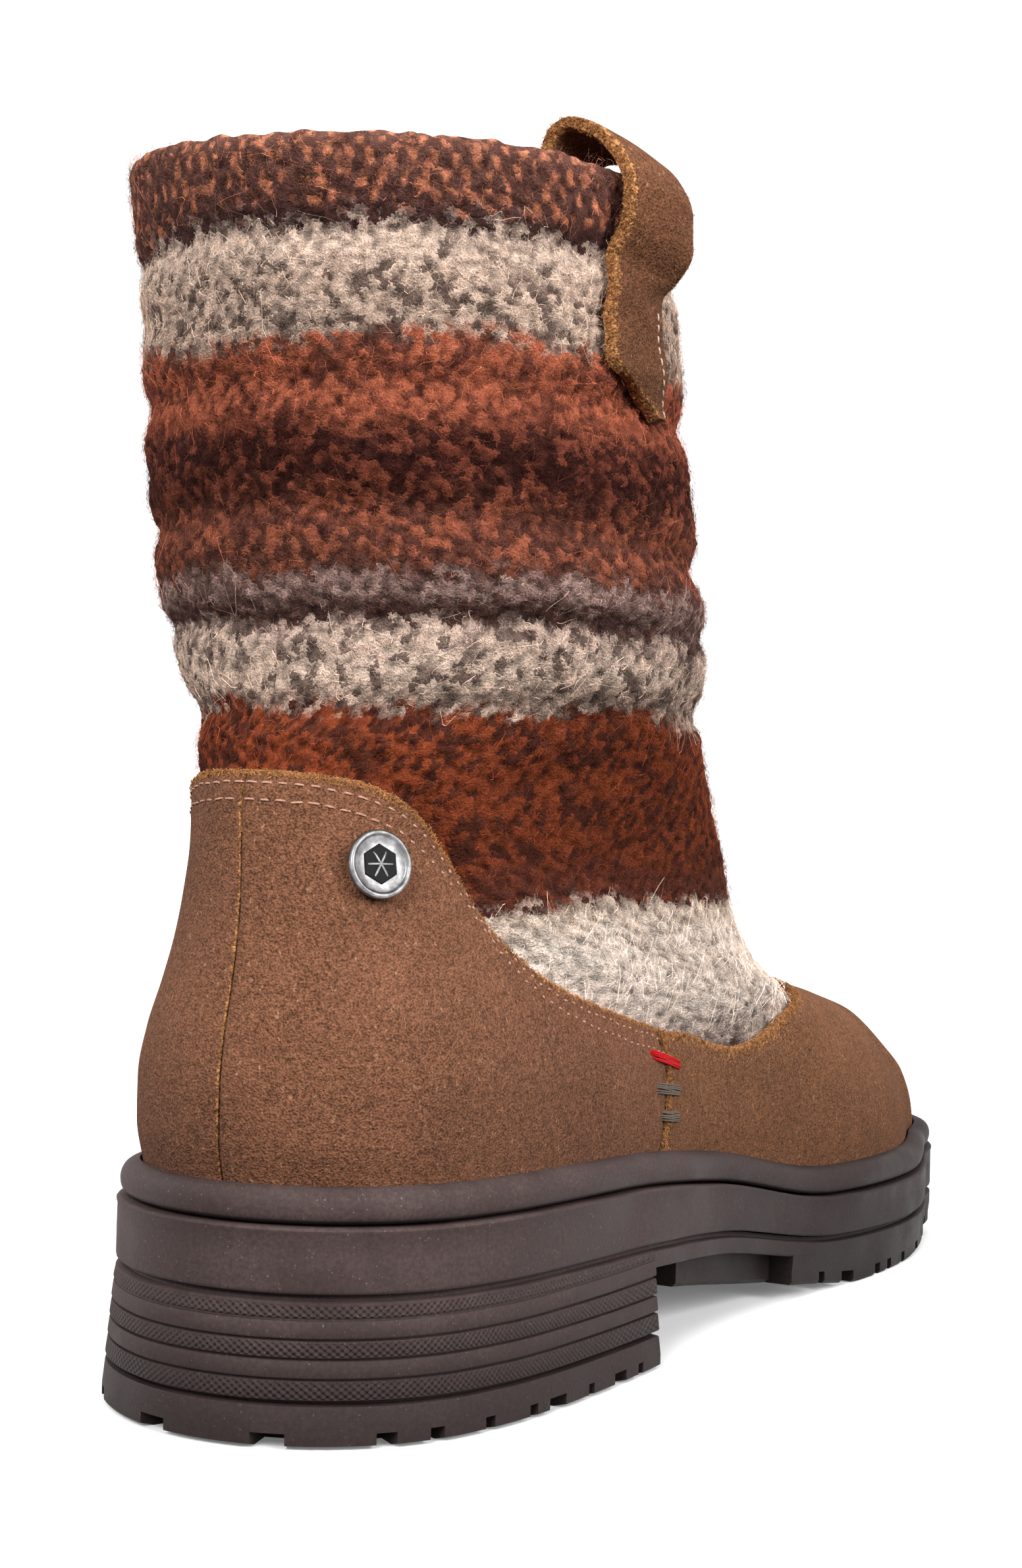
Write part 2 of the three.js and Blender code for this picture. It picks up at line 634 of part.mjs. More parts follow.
// The knit's outer face at a height on the medial side.
function shaftX(y, z) {
  const v = crossing((t) => sectionCurves.backZ(t) - z, 10, topV);
  const share = (y - sectionCurves.backY(v)) / (sectionCurves.frontY(v) - sectionCurves.backY(v));
  const u = Math.acos(1 - 2 * clamp01(share)) / Math.PI / 2;
  return skin(u, v, knitOut(u, v)).x;
}

function pullLoopGeometry() {
  const outs = curve(loopPath.map((row, i) => [i, row.out]));
  const heights = curve(loopPath.map((row, i) => [i, row.z]));
  const middle = (t, side) => {
    const z = heights(t);
    const free = smooth((z - 190) / 8);
    const low = smooth((loopTip.fromZ - z) / (loopTip.fromZ - loopTip.toZ)) * (t < 4 ? 1 : 0);
    const lean = t < 8 ? loop.farLean * smooth((190 - z) / 20) : 0;
    const y = lerp(lerp(loop.nearY, loopTip.lowY, low), loop.farY + lean, side);
    const over = t < 10 ? smooth((10 - t) / 3) : 0;
    const x = shaftX(y, Math.min(z, loop.refZ)) + outs(t) + over * free * loop.farOut * side;
    return new THREE.Vector3(x, y, z - free * loop.farDrop * side);
  };
  const rows = 34;
  const last = loopPath.length - 1;
  const face = (depth) =>
    Array.from({ length: rows }, (_, i) =>
      [0, 1 / 3, 2 / 3, 1].map((side) => {
        const t = (last * i) / (rows - 1);
        const p = middle(t, side);
        const ahead = middle(Math.min(last, t + 0.05), side);
        const along = ahead.sub(middle(Math.max(0, t - 0.05), side)).normalize();
        const out = new THREE.Vector3(0, 1, 0).cross(along).normalize();
        return p.addScaledVector(out, -depth);
      }),
    );
  return patchGeometry(face(0), face(loop.thick));
}

function buttonGeometry() {
  const { radius, stem, thick, dish, rim } = button;
  const profile = [
    [0, 0],
    [stem, 0],
    [stem, 0.7],
    [radius - 0.3, 0.7],
    [radius, 1.0],
    [radius, thick - 0.2],
    [radius - 0.3, thick + 0.2],
    [radius - rim, thick + 0.1],
    [radius - rim - 0.3, thick - dish],
    [0, thick - dish],
  ];
  return new THREE.LatheGeometry(profile.map(([x, y]) => new THREE.Vector2(x, y)), 24);
}
function placeButton(mesh) {
  const u = crossing((t) => {
    const v = crossing((w) => lastAt(t, w).z - button.z, 4, 11);
    return lastAt(t, v).y - button.y;
  }, 0.02, 0.3);
  const v = crossing((w) => lastAt(u, w).z - button.z, 4, 11);
  mesh.position.copy(skin(u, v, 1.5 * gap));
  mesh.quaternion.setFromUnitVectors(new THREE.Vector3(0, 1, 0), lastNormal(u, v));
}

// Materials
const finish = (color, roughness, metalness = 0) =>
  new THREE.MeshStandardMaterial({ color, roughness, metalness });
const finishes = {
  rubber: finish(0x423634, 0.75),
  suede: finish(0x83593a, 0.95),
  wool: finish(0x6a4638, 1),
  felt: finish(0x4a4038, 1),
  metal: finish(0xb9bcbf, 0.3, 1),
};

// The bootie
const bootie = new THREE.Group();
function addPiece(name, geometry, material) {
  const mesh = new THREE.Mesh(geometry, material);
  mesh.name = name;
  bootie.add(mesh);
  return mesh;
}
addPiece("outsole", outsoleGeometry(), finishes.rubber);
addPiece("midsole", midsoleGeometry(), finishes.rubber);
addPiece("welt_bead", beadGeometry(), finishes.rubber);
addPiece("insole", insoleGeometry(), finishes.felt);
addPiece("upper_knit", upperGeometry(), finishes.wool);
addPiece("quarter_medial", quarterGeometry("medial"), finishes.suede);
addPiece("quarter_lateral", quarterGeometry("lateral"), finishes.suede);
addPiece("vamp", vampGeometry(), finishes.suede);
addPiece("pull_loop", pullLoopGeometry(), finishes.suede);
placeButton(addPiece("button", buttonGeometry(), finishes.metal));
bootie.position.set(-heel.frameX, -heel.frameY, 0);

export default bootie;
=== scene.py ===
"""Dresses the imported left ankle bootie: a brushed striped knit, suede panels and a lugged sole."""
import math

import bpy
import numpy as np
from mathutils import Matrix


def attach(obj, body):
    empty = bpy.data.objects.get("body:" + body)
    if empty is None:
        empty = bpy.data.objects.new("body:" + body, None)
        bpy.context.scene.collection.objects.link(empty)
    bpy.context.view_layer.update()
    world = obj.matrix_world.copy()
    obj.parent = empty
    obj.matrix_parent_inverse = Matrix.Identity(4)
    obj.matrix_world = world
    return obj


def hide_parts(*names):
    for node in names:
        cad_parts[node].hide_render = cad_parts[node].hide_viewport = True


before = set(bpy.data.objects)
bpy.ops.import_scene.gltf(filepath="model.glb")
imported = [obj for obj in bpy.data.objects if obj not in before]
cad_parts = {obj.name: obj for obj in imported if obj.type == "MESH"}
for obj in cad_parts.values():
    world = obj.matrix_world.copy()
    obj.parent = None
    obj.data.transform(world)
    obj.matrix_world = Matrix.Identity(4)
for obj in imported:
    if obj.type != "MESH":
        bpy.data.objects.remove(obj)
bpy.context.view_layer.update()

bl_info = {
    "name": "Knitted ankle bootie",
    "version": (1, 0, 0),
    "blender": (4, 5, 0),
    "location": "3D View > Sidebar > Bootie",
    "description": "Builds a suede ankle bootie with a brushed wool shaft and a lugged rubber sole",
    "category": "Object",
}

# The tables are millimetres. Y runs from the back of the sole to the toe, X to the medial side.
MM = 0.001
ORIGIN = np.array([1.0, 45.0, 0.0])  # the frame's origin in the tables
SOLE_LENGTH = 278.3
SHAFT_HALF, SHAFT_X = 50.0, -1.4
SUEDE_THICK = 1.7
TUCK = 2.36
HEEL_BREAST, HEEL_FLARE, HEEL_BOTTOM = 90.0, 2.0, 24.4
TREAD_START = 163.0
SEAM_TOP_V = 3.1
COLLAR_Z, RIM_Z = 197.0, 211.0

# y, medial and lateral half breadth of the sole
OUTLINE = [
    (4, 16.9, 15.2), (14, 28.3, 28.0), (34, 35.9, 36.2), (64, 38.1, 36.8), (98, 37.1, 36.6),
    (130, 33.9, 39.0), (165, 35.3, 45.0), (198, 38.7, 49.5), (230, 37.6, 45.5), (256, 30.8, 34.0),
    (272, 21.6, 18.5),
]
MIDLINE = [(0, 1.3), (60, 1.0), (130, -1.0), (200, -3.5), (278.3, -1.8)]
# y, top and bottom of the band over the tread
BAND = [
    (0, 35.0, 24.4), (80, 33.4, 23.0), (130, 28.6, 19.2), (185, 20.0, 11.6), (235, 19.2, 10.6),
    (280, 24.2, 13.4),
]
UNDERSIDE = [
    (118, 9.5), (150, 5.0), (165, 3.2), (178, 1.7), (190, 0.35), (196, 0), (224, 0), (240, 0.8),
    (260, 2.6), (280, 4.8),
]
# back y, back z, front y, front z, share of the breadth, roundness of the upper's sections
SECTIONS = [
    (4.4, 35.4, 273.5, 23.9, 0.885, 0), (3.5, 40, 273.8, 27.5, 0.892, 0),
    (1.8, 48, 270.8, 35.2, 0.908, 0), (1.7, 56, 265.1, 42.6, 0.899, 0),
    (2.7, 64, 255.2, 49.3, 0.861, 0.05), (4.7, 72, 241, 56.4, 0.799, 0.12),
    (6.6, 80, 219.7, 61.6, 0.744, 0.25), (7.8, 88, 195.6, 66.5, 0.695, 0.4),
    (8.4, 96, 179.1, 78.5, 0.661, 0.6), (9.2, 104, 170.6, 92, 0.683, 0.8),
    (13.9, 112, 158.5, 103, 0.738, 0.95), (18.3, 120, 141.5, 116, 0.836, 1),
    (18.6, 130, 130, 128, 0.935, 1), (16.4, 142, 124.4, 141, 0.975, 1),
    (13.2, 156, 118.4, 155, 0.975, 1), (10.9, 170, 115, 169, 0.96, 1),
    (9.8, 184, 112.4, 183, 0.955, 1), (7.6, 198, 109.5, 198, 0.95, 1),
    (5, 211, 105, 211, 0.956, 1),
]
# back z, front z, depth, height of the slouch folds
FOLDS = [
    (196, 197, 1.3, 2.6), (172, 172, 1.6, 3.2), (152, 145, 1.7, 3.6), (133, 136, 1.4, 2.2),
    (118, 122, 1.5, 3.2),
]
# y, z of the suede's upper edge seen from the side
TOPLINE = [
    (-10, 107.6), (10, 107.8), (16, 107), (23, 104.6), (30, 99.6), (36.5, 91.9), (43, 82.8),
    (59, 72.6), (81, 65.9), (107, 60.5), (118, 59.4), (133, 56), (142, 55), (154, 56.6),
    (165, 60), (176, 63.4), (186, 66.6), (200, 74),
]
# z, distance out from the knit along the pull loop's outer face
LOOP_PATH = [
    (170.5, 3.15), (178, 3.15), (186, 3.15), (192, 3.25), (197, 3.9), (202.5, 5.0), (208, 4.9),
    (214, 2.2), (219, -3.2), (220.6, -8.2), (218.6, -12.2), (213, -13.8), (206, -11.4), (198, -8),
    (188, -6.8),
]
# low and high edge at the back, low and high edge at the breast, depth of the heel's grooves
HEEL_GROOVES = [
    (6.9, 7.9, 5.9, 6.9, 1.8), (10.8, 11.3, 10.0, 10.5, 0.8), (14.0, 14.5, 13.1, 13.6, 0.8),
    (17.0, 17.5, 16.4, 16.9, 0.8), (20.2, 20.7, 19.6, 20.1, 0.8),
]
# y, width, depth of the notches in the tread's edge, and whether a groove crosses there
HEEL_NOTCHES = [
    (12.8, 2.6, 5, 0), (20.2, 2.4, 5, 1), (31, 2.2, 5, 0), (42.3, 2.2, 5, 0), (49.8, 5.4, 7, 0),
    (61.5, 2, 5, 0), (72.6, 4.6, 7, 1), (81, 2, 5, 0),
]
BALL_NOTCHES = [
    (176.9, 2.4, 6, 0), (188.4, 5.4, 8, 1), (204, 3, 6, 0), (211.4, 2.6, 6, 0), (221.7, 2.4, 6, 0),
    (235, 3.2, 8, 1), (247, 2.6, 6, 0), (258, 3.2, 8, 0), (268, 2.6, 6, 0),
]
BACK_NOTCHES = [(12.6, 4), (-8.4, 4)]  # x, width
NOTCH_TALL = 2.5


def mix(a, b, t):
    """The value t of the way from a to b."""
    return a + (b - a) * t


def smooth(t):
    """Zero below 0, one above 1 and 3t^2 - 2t^3 between."""
    t = np.clip(t, 0, 1)
    return t * t * (3 - 2 * t)


def curve(xs, ys):
    """A cubic through the points that never overshoots them, flat beyond both ends.

    Each inner slope is the harmonic mean of its neighbours' slopes, or 0 at a peak."""
    xs, ys = np.asarray(xs, float), np.asarray(ys, float)
    steps = np.diff(ys) / np.diff(xs)
    a, b = steps[:-1], steps[1:]
    safe = np.where(a * b > 0, a + b, 1)
    slopes = np.concatenate([steps[:1], np.where(a * b > 0, 2 * a * b / safe, 0), steps[-1:]])

    def value(x):
        x = np.clip(x, xs[0], xs[-1])
        i = np.clip(np.searchsorted(xs, x, side="right") - 1, 0, len(xs) - 2)
        step = xs[i + 1] - xs[i]
        t = (x - xs[i]) / step
        bend = step * t * (1 - t) * ((1 - t) * slopes[i] - t * slopes[i + 1])
        return mix(ys[i], ys[i + 1], t * t * (3 - 2 * t)) + bend

    return value


def columns_of(table):
    """Each column of a table as an array."""
    return [np.array(column, float) for column in zip(*table)]


midline_x = curve(*columns_of(MIDLINE))
band_y, band_tops, band_bottoms = columns_of(BAND)
band_top = curve(band_y, band_tops)
band_bottom = curve(band_y, band_bottoms)
floor_z = curve(*columns_of(UNDERSIDE))
edge_z = curve(*columns_of(TOPLINE))
outline_y, medial_x, lateral_x = columns_of(OUTLINE)
section_at = [curve(np.arange(len(SECTIONS)), column) for column in columns_of(SECTIONS)]


def side_shape(half):
    """Half breadth over that of an ellipse of the sole's length, by share of the way to the toe."""
    share = outline_y / SOLE_LENGTH
    ratio = half / (2 * np.sqrt(share * (1 - share)))
    return curve(np.r_[0, share, 1], np.r_[ratio[0] * 1.03, ratio, ratio[-1]])


medial_shape = side_shape(medial_x - midline_x(outline_y))
lateral_shape = side_shape(lateral_x + midline_x(outline_y))


def around(u):
    """Side, share of the way to the toe and breadth of a circle. u is 0 at the back, 0.25 at the
    medial side and 0.5 at the toe."""
    turn = np.mod(u, 1)
    share = (1 - np.cos(2 * np.pi * turn)) / 2
    return np.where(turn <= 0.5, 1.0, -1.0), share, np.abs(np.sin(2 * np.pi * turn))


def shape_at(sign, share):
    return np.where(sign > 0, medial_shape(share), lateral_shape(share))


def outline_at(u):
    """The sole's outline seen from above: the midline plus the side's shape times the circle."""
    sign, share, swell = around(u)
    y = SOLE_LENGTH * share
    return np.stack([midline_x(y) + sign * swell * shape_at(sign, share), y], -1)


def unit(vectors):
    return vectors / np.maximum(np.linalg.norm(vectors, axis=-1, keepdims=True), 1e-12)


def outwards(u):
    """The outline's normal, from a short chord."""
    along = unit(outline_at(u + CHORD_U) - outline_at(u - CHORD_U))
    return np.stack([along[..., 1], -along[..., 0]], -1)


def sole_ring(u, inset, z):
    """A ring inset from the outline, at height z."""
    at = outline_at(u) - outwards(u) * np.asarray(inset)[..., None]
    return np.concatenate([at, np.broadcast_to(z, at.shape[:-1])[..., None]], -1)


TOP_V = len(SECTIONS) - 1
CHORD_U, CHORD_V = 0.002, 0.02  # half lengths of the chords that stand for slopes


def last_at(u, v):
    """The upper's form: u runs round and v up through the sections, each an oval from its back
    point to its front point that turns from the sole's shape into an ellipse."""
    u, v = np.broadcast_arrays(np.asarray(u, float), np.asarray(v, float))
    sign, share, swell = around(u)
    back_y, back_z, front_y, front_z, width, roundness = (at(v) for at in section_at)
    y = mix(back_y, front_y, share)
    half = mix(width * shape_at(sign, share), width * SHAFT_HALF, roundness)
    x = mix(midline_x(y), SHAFT_X, roundness) + sign * swell * half
    rise = band_top(y) - mix(band_top(back_y), band_top(front_y), share)
    return np.stack([x, y, mix(back_z, front_z, share) + (1 - roundness) * rise], -1)


def last_normal(u, v):
    """The form's normal: the way round crossed with the way up, from short chords."""
    u, v = np.broadcast_arrays(np.asarray(u, float), np.asarray(v, float))
    along = last_at(u + CHORD_U, v) - last_at(u - CHORD_U, v)
    up = last_at(u, np.minimum(v + CHORD_V, TOP_V)) - last_at(u, np.maximum(v - CHORD_V, 0))
    return unit(np.cross(along, up))


def skin(u, v, out):
    """The form moved out along its normal."""
    return last_at(u, v) + last_normal(u, v) * np.asarray(out)[..., None]


def crossing(f, low, high, shape=()):
    """Where f turns positive between low and high, by halving, for whole arrays at once."""
    low, high = np.full(shape, float(low)), np.full(shape, float(high))
    for _ in range(40):
        middle = (low + high) / 2
        over = f(middle) > 0
        low, high = np.where(over, low, middle), np.where(over, middle, high)
    return high


def ripple(x, y, pitch, seed, waves=14):
    """Smooth seeded unevenness: a mean of sines that run in seeded ways over x and y."""
    rng = np.random.default_rng(seed)
    way = rng.uniform(0, 2 * np.pi, waves)
    phase = rng.uniform(0, 2 * np.pi, waves)
    size = 2 * np.pi / (pitch * rng.uniform(0.6, 1.6, waves))
    x, y = np.asarray(x)[..., None], np.asarray(y)[..., None]
    return np.sin((x * np.cos(way) + y * np.sin(way)) * size + phase).mean(-1) * math.sqrt(waves)


# Soft creases of the knit: middle as mm round from the back towards the medial side
# and height, half length, climb along it, depth, half height. A ridge has a negative depth.
CREASES = [
    (-40, 186, 30, -3, 0.9, 3.4), (22, 178, 34, 3, 0.7, 3.6), (60, 187, 20, -5, 0.8, 3.0),
    (-46, 160, 26, 4, 0.9, 3.4), (-6, 164, 26, -3, 0.6, 3.2), (44, 158, 30, -7, 0.9, 3.2),
    (-30, 146, 24, -2, -0.8, 3.0), (38, 141, 34, -3, -0.9, 3.0), (0, 126, 40, 2, 0.8, 3.0),
    (74, 128, 30, -6, 0.9, 3.2), (-60, 126, 30, 4, 0.9, 3.2), (56, 108, 26, 8, 0.8, 3.4),
    (80, 96, 24, 10, 0.7, 3.6), (-84, 104, 30, -8, 0.8, 3.6), (130, 150, 40, 5, 0.9, 3.6),
    (-120, 140, 40, -4, 0.9, 3.6), (120, 118, 30, -5, 0.8, 3.4), (-118, 166, 36, 5, 0.8, 3.4),
    (128, 182, 34, -4, 0.8, 3.4),
]
SHAFT_ROUND = 310.0  # mm round the shaft
KNIT_SWELL = 0.9  # mm that the knit stands off the form between its folds
CREASE_STRENGTH, CREASE_SHADE = 0.85, 0.3
HAIR_ROOM = 0.8  # mm left for the hairs inside the solid
LUMP = 0.36  # mm from a stitch's mean height to its top
RIM_LIFT, RIM_LIFT_U = 3.6, 0.85  # mm that the rim stands higher at the back of its lateral side
STITCHES_ROUND, STITCH_TALL, STAGGER_TALL = 102, 2.6, 2.3


def way_round(u, start=0.0):
    """Share of the way round from a start, from -0.5 on its lateral side to 0.5."""
    return np.mod(u - start + 0.5, 1) - 0.5


def above_edge(at):
    """From 0 just over the suede's upper edge to 1 where the knit swells freely."""
    return smooth((at[..., 2] - edge_z(at[..., 1]) - 0.6) / 9)


def bell(distance, half):
    return np.exp(-((distance / half) ** 2))


def knit_out(u, v):
    """How far the knit stands off the form: tucked under the suede, and swelling between folds.

    Each fold and crease is a bell across its line, and the creases fade towards their ends."""
    at = last_at(u, v)
    z = at[..., 2]
    share = around(u)[1]
    out = np.full(share.shape, KNIT_SWELL)
    for back, front, deep, tall in FOLDS:
        out = out - deep * bell(z - mix(back, front, share), tall)
    way = way_round(u) * SHAFT_ROUND
    for middle, height, half, climb, deep, tall in CREASES:
        along = (way - middle) / half
        window = np.exp(-(along**2) * 1.4)
        out = out - CREASE_STRENGTH * deep * window * bell(z - (height + climb * along), tall)
    lump = ripple(way, z, 11, 5) * 0.14
    return mix(-TUCK, out + lump - HAIR_ROOM, above_edge(at))


def knit_face(u, v):
    """The knit's outer face without its stitches."""
    return skin(u, v, knit_out(u, v))


def crease_shade(u, v):
    """How deep a place lies below the knit's mean face, as a share of 2 mm, for its shade."""
    return np.clip((0.4 - HAIR_ROOM - knit_out(u, v)) / 2, 0, 1) * above_edge(last_at(u, v))


def rim_lift(u, v):
    """The rim's rise, a bell round the shaft that fades out below the collar."""
    rise = smooth((last_at(u, v)[..., 2] - COLLAR_Z + 1) / (RIM_Z - COLLAR_Z))
    return RIM_LIFT * bell(way_round(u, RIM_LIFT_U), 0.1) * rise


def stitch_lumps(u, v):
    """Felted stitches as low bumps, from -1 in the pits to 1 on the tops: columns of waves round
    the shaft crossed with rows, and shifted by seeded unevenness."""
    z = last_at(u, v)[..., 2]
    way = way_round(u) * SHAFT_ROUND
    drift = ripple(way, z, 9, 21) * 0.9
    stagger = np.round(z / STAGGER_TALL) * np.pi
    columns = np.cos((way + drift) * 2 * np.pi * STITCHES_ROUND / SHAFT_ROUND + stagger)
    rows = np.cos((z + ripple(way, z, 9, 22) * 0.9) * 2 * np.pi / STITCH_TALL)
    uneven = ripple(way, z, STITCH_TALL, 23)
    return np.clip(0.45 * columns * np.abs(rows) + 0.3 * rows + 0.5 * uneven, -1, 1)


def v_at_back(z):
    """Section number at a height of the back."""
    rows = np.linspace(0, TOP_V, 1200)
    return np.interp(z, section_at[1](rows), rows)


def v_at_rise(u_at, up):
    """Section number where a column is a given height over the band."""
    def over(v):
        at = last_at(u_at(v), v)
        return at[..., 2] - band_top(at[..., 1]) - up

    return crossing(over, 0, 4, u_at(0.5).shape)


def seam_y(z):
    """Where the side seam lies at a height: it leans towards the toe."""
    return mix(101.2, 107.4, np.clip((z - 36) / 25, 0, 1))


def seam_table(shift):
    """The place round the form of the side seam, as a curve of the section number."""
    v = np.linspace(0, SEAM_TOP_V, 40)

    def ahead(u):
        at = last_at(u, v)
        return at[..., 1] + shift - seam_y(at[..., 2])

    return curve(v, crossing(ahead, 0.05, 0.45, v.shape))


quarter_seam, vamp_seam = seam_table(0.15), seam_table(-0.15)


def edge_v(u_at, count):
    """Section number where each column meets the suede's upper edge."""
    def over(v):
        at = last_at(u_at(v), v)
        return at[..., 2] - edge_z(at[..., 1])

    return crossing(over, 0.5, 9.6, (count,))


# Meshes


def placed(points):
    """Table millimetres as metres in the frame."""
    return (points - ORIGIN) * MM


def grid_quads(rows, columns, round_rows=False, round_columns=False):
    """Quads of a grid whose rows go up and whose columns go round anticlockwise from above."""
    i = np.arange(rows if round_rows else rows - 1)[:, None]
    j = np.arange(columns if round_columns else columns - 1)[None, :]
    right, up = (j + 1) % columns, (i + 1) % rows
    corners = [i * columns + j, i * columns + right, up * columns + right, up * columns + j]
    return np.stack(corners, -1).reshape(-1, 4)


def fan(ring, centre, flip=False):
    """Triangles from a closed ring of points to one in the middle."""
    after = np.roll(ring, -1)
    order = (after, ring) if flip else (ring, after)
    return np.stack([*order, np.full(len(ring), centre)], -1)


def new_piece(name, points, faces, slot, uv=None, values=None, round_u=0.0, sharp=None):
    """A mesh from arrays in table millimetres. faces is a list of arrays of quads or triangles.

    Where the pattern's first coordinate runs round a closed piece, round_u is its way round."""
    faces = faces if isinstance(faces, list) else [faces]
    faces = [np.asarray(part, np.int32) for part in faces]
    loops = np.concatenate([part.ravel() for part in faces])
    sizes = np.concatenate([np.full(len(part), part.shape[1]) for part in faces])
    mesh = bpy.data.meshes.new(name)
    mesh.vertices.add(len(points))
    mesh.vertices.foreach_set("co", placed(points).astype(np.float32).ravel())
    mesh.loops.add(len(loops))
    mesh.loops.foreach_set("vertex_index", loops)
    mesh.polygons.add(len(sizes))
    mesh.polygons.foreach_set("loop_start", np.r_[0, np.cumsum(sizes)[:-1]].astype(np.int32))
    if uv is not None:
        corner = np.asarray(uv, float)[loops]
        if round_u:
            face = np.repeat(np.arange(len(sizes)), sizes)
            low = np.full(len(sizes), np.inf)
            high = np.full(len(sizes), -np.inf)
            np.minimum.at(low, face, corner[:, 0])
            np.maximum.at(high, face, corner[:, 0])
            wraps = (high - low > round_u / 2)[face] & (corner[:, 0] < round_u / 2)
            corner[:, 0] += wraps * round_u
        mesh.uv_layers.new(name="weave").data.foreach_set("uv", corner.astype(np.float32).ravel())
    for key, value in (values or {}).items():
        layer = mesh.attributes.new(key, "FLOAT", "POINT")
        layer.data.foreach_set("value", np.asarray(value, np.float32).ravel())
    mesh.update(calc_edges=True)
    mesh.validate()
    mesh.shade_smooth()
    if sharp:
        mesh.set_sharp_from_angle(angle=math.radians(sharp))
    piece = bpy.data.objects.new(name, mesh)
    bpy.context.scene.collection.objects.link(piece)
    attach(piece, "root")
    return piece


def thick_patch(outer, inner):
    """Points and quads of a closed patch from its outer and inner grids."""
    rows, columns = outer.shape[:2]
    half = rows * columns
    number = np.arange(half).reshape(rows, columns)
    front = grid_quads(rows, columns)
    edge = np.r_[number[0, :-1], number[:-1, -1], number[-1, :0:-1], number[:0:-1, 0]]
    after = np.roll(edge, -1)
    rim = np.stack([after, edge, half + edge, half + after], -1)
    points = np.concatenate([outer.reshape(-1, 3), inner.reshape(-1, 3)])
    return points, [front, front[:, ::-1] + half, rim]


def stack(rings):
    """Points and faces of rings from the bottom up, capped by strips across each end. A quad with
    two equal corners becomes a triangle."""
    rows, n = rings.shape[:2]
    across = np.arange(n // 2)
    last = (rows - 1) * n
    a, b = across, (across + 1) % n
    c, d = (n - across - 1) % n, (n - across) % n
    top = np.stack([a, b, c, d], -1) + last
    bottom = np.stack([d, c, b, a], -1)
    faces = [grid_quads(rows, n, round_columns=True), top, bottom]
    tidy = []
    for part in faces:
        same = (part == np.roll(part, 1, 1)).any(1)
        tidy.append(part[~same])
        for k in range(4):
            double = part[:, k] == part[:, (k + 1) % 4]
            others = part[double][:, [(k + 1) % 4, (k + 2) % 4, (k + 3) % 4]]
            flat = (others[:, 0] == others[:, 1]) | (others[:, 1] == others[:, 2])
            tidy.append(others[~flat])
    return rings.reshape(-1, 3), [part for part in tidy if len(part)]


# The knit


LEVEL_Z, TURN_Z = 114.5, 208.2  # heights where the rows run level, and where the rim turns in
RIM_HALF, RIM_TALL = 2.2, 2.9
SHAFT_WALL, COLLAR_WALL = 2.45, 4.4
HAIR_BANDS = [(56, 128), (128, 172), (172, 211)]  # heights between which hairs are spread
STRAYS = 5000


def knit_rows(u, edge):
    """Rows of the knit's wall: up the outside, round the rim as half an oval and down the inside.
    Each row has its section number, depth below the outer face and lift."""
    tucked = [(edge * t, 0, 0) for t in (0.0, 0.3, 0.6, 0.85, 0.95, 0.985)]
    high = v_at_back(np.linspace(LEVEL_Z, TURN_Z, 96))
    throat = [(mix(edge, high[0], t), 0, 0) for t in np.linspace(0.0, 1, 44)[:-1]]
    outside = tucked + throat + [(np.full(u.shape, v), 0, 0) for v in high]
    top = np.full(u.shape, v_at_back(TURN_Z))
    turn = np.linspace(0, np.pi, 12)[1:-1]
    rim = [(top, RIM_HALF - RIM_HALF * math.cos(a), RIM_TALL * math.sin(a)) for a in turn]
    inside = [(v, knit_wall(section_at[1](v)), 0) for v, _, _ in outside[::-3]]
    return outside + rim + inside


def knit_wall(z):
    """The wall's thickness, which grows in the folded collar."""
    return mix(SHAFT_WALL, COLLAR_WALL, smooth((z - COLLAR_Z) / 4 + 1))


def build_knit():
    count = 360
    u = np.arange(count) / count
    edge = edge_v(lambda v: u, count)
    rows = knit_rows(u, edge)
    v, depth, lift = (np.stack([np.broadcast_to(row[k], u.shape) for row in rows]) for k in range(3))
    turn = np.broadcast_to(u, v.shape)
    at = last_at(turn, v)
    pits = stitch_lumps(turn, v)
    outside = smooth(1 - depth / 2) * smooth((at[..., 2] - edge_z(at[..., 1])) / 4)
    points = skin(turn, v, knit_out(turn, v) + LUMP * pits * outside - depth)
    way = turn * SHAFT_ROUND
    lumps = ripple(way, depth * 3, 7, 9) * 0.35 * smooth(lift / 1.2)
    points[..., 2] += lift + lumps + rim_lift(turn, v)
    height = at[..., 2] + lift * 1.3 + depth * (lift > 0)
    uv = np.stack([way, height], -1).reshape(-1, 2) * MM
    faces = grid_quads(len(rows), count, True, True)
    # Painted shade: the pits attribute darkens the yarn in the stitch pits and the creases, and
    # lightens the stitch tops as painted light.
    shade = pits - CREASE_SHADE * crease_shade(turn, v)
    values = {"tint": np.full(pits.size, 0.3), "pits": shade.ravel()}
    piece = new_piece("knit_shaft", points.reshape(-1, 3), faces, "wool_knit", uv, values,
                      SHAFT_ROUND * MM)
    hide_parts("upper_knit")
    return piece


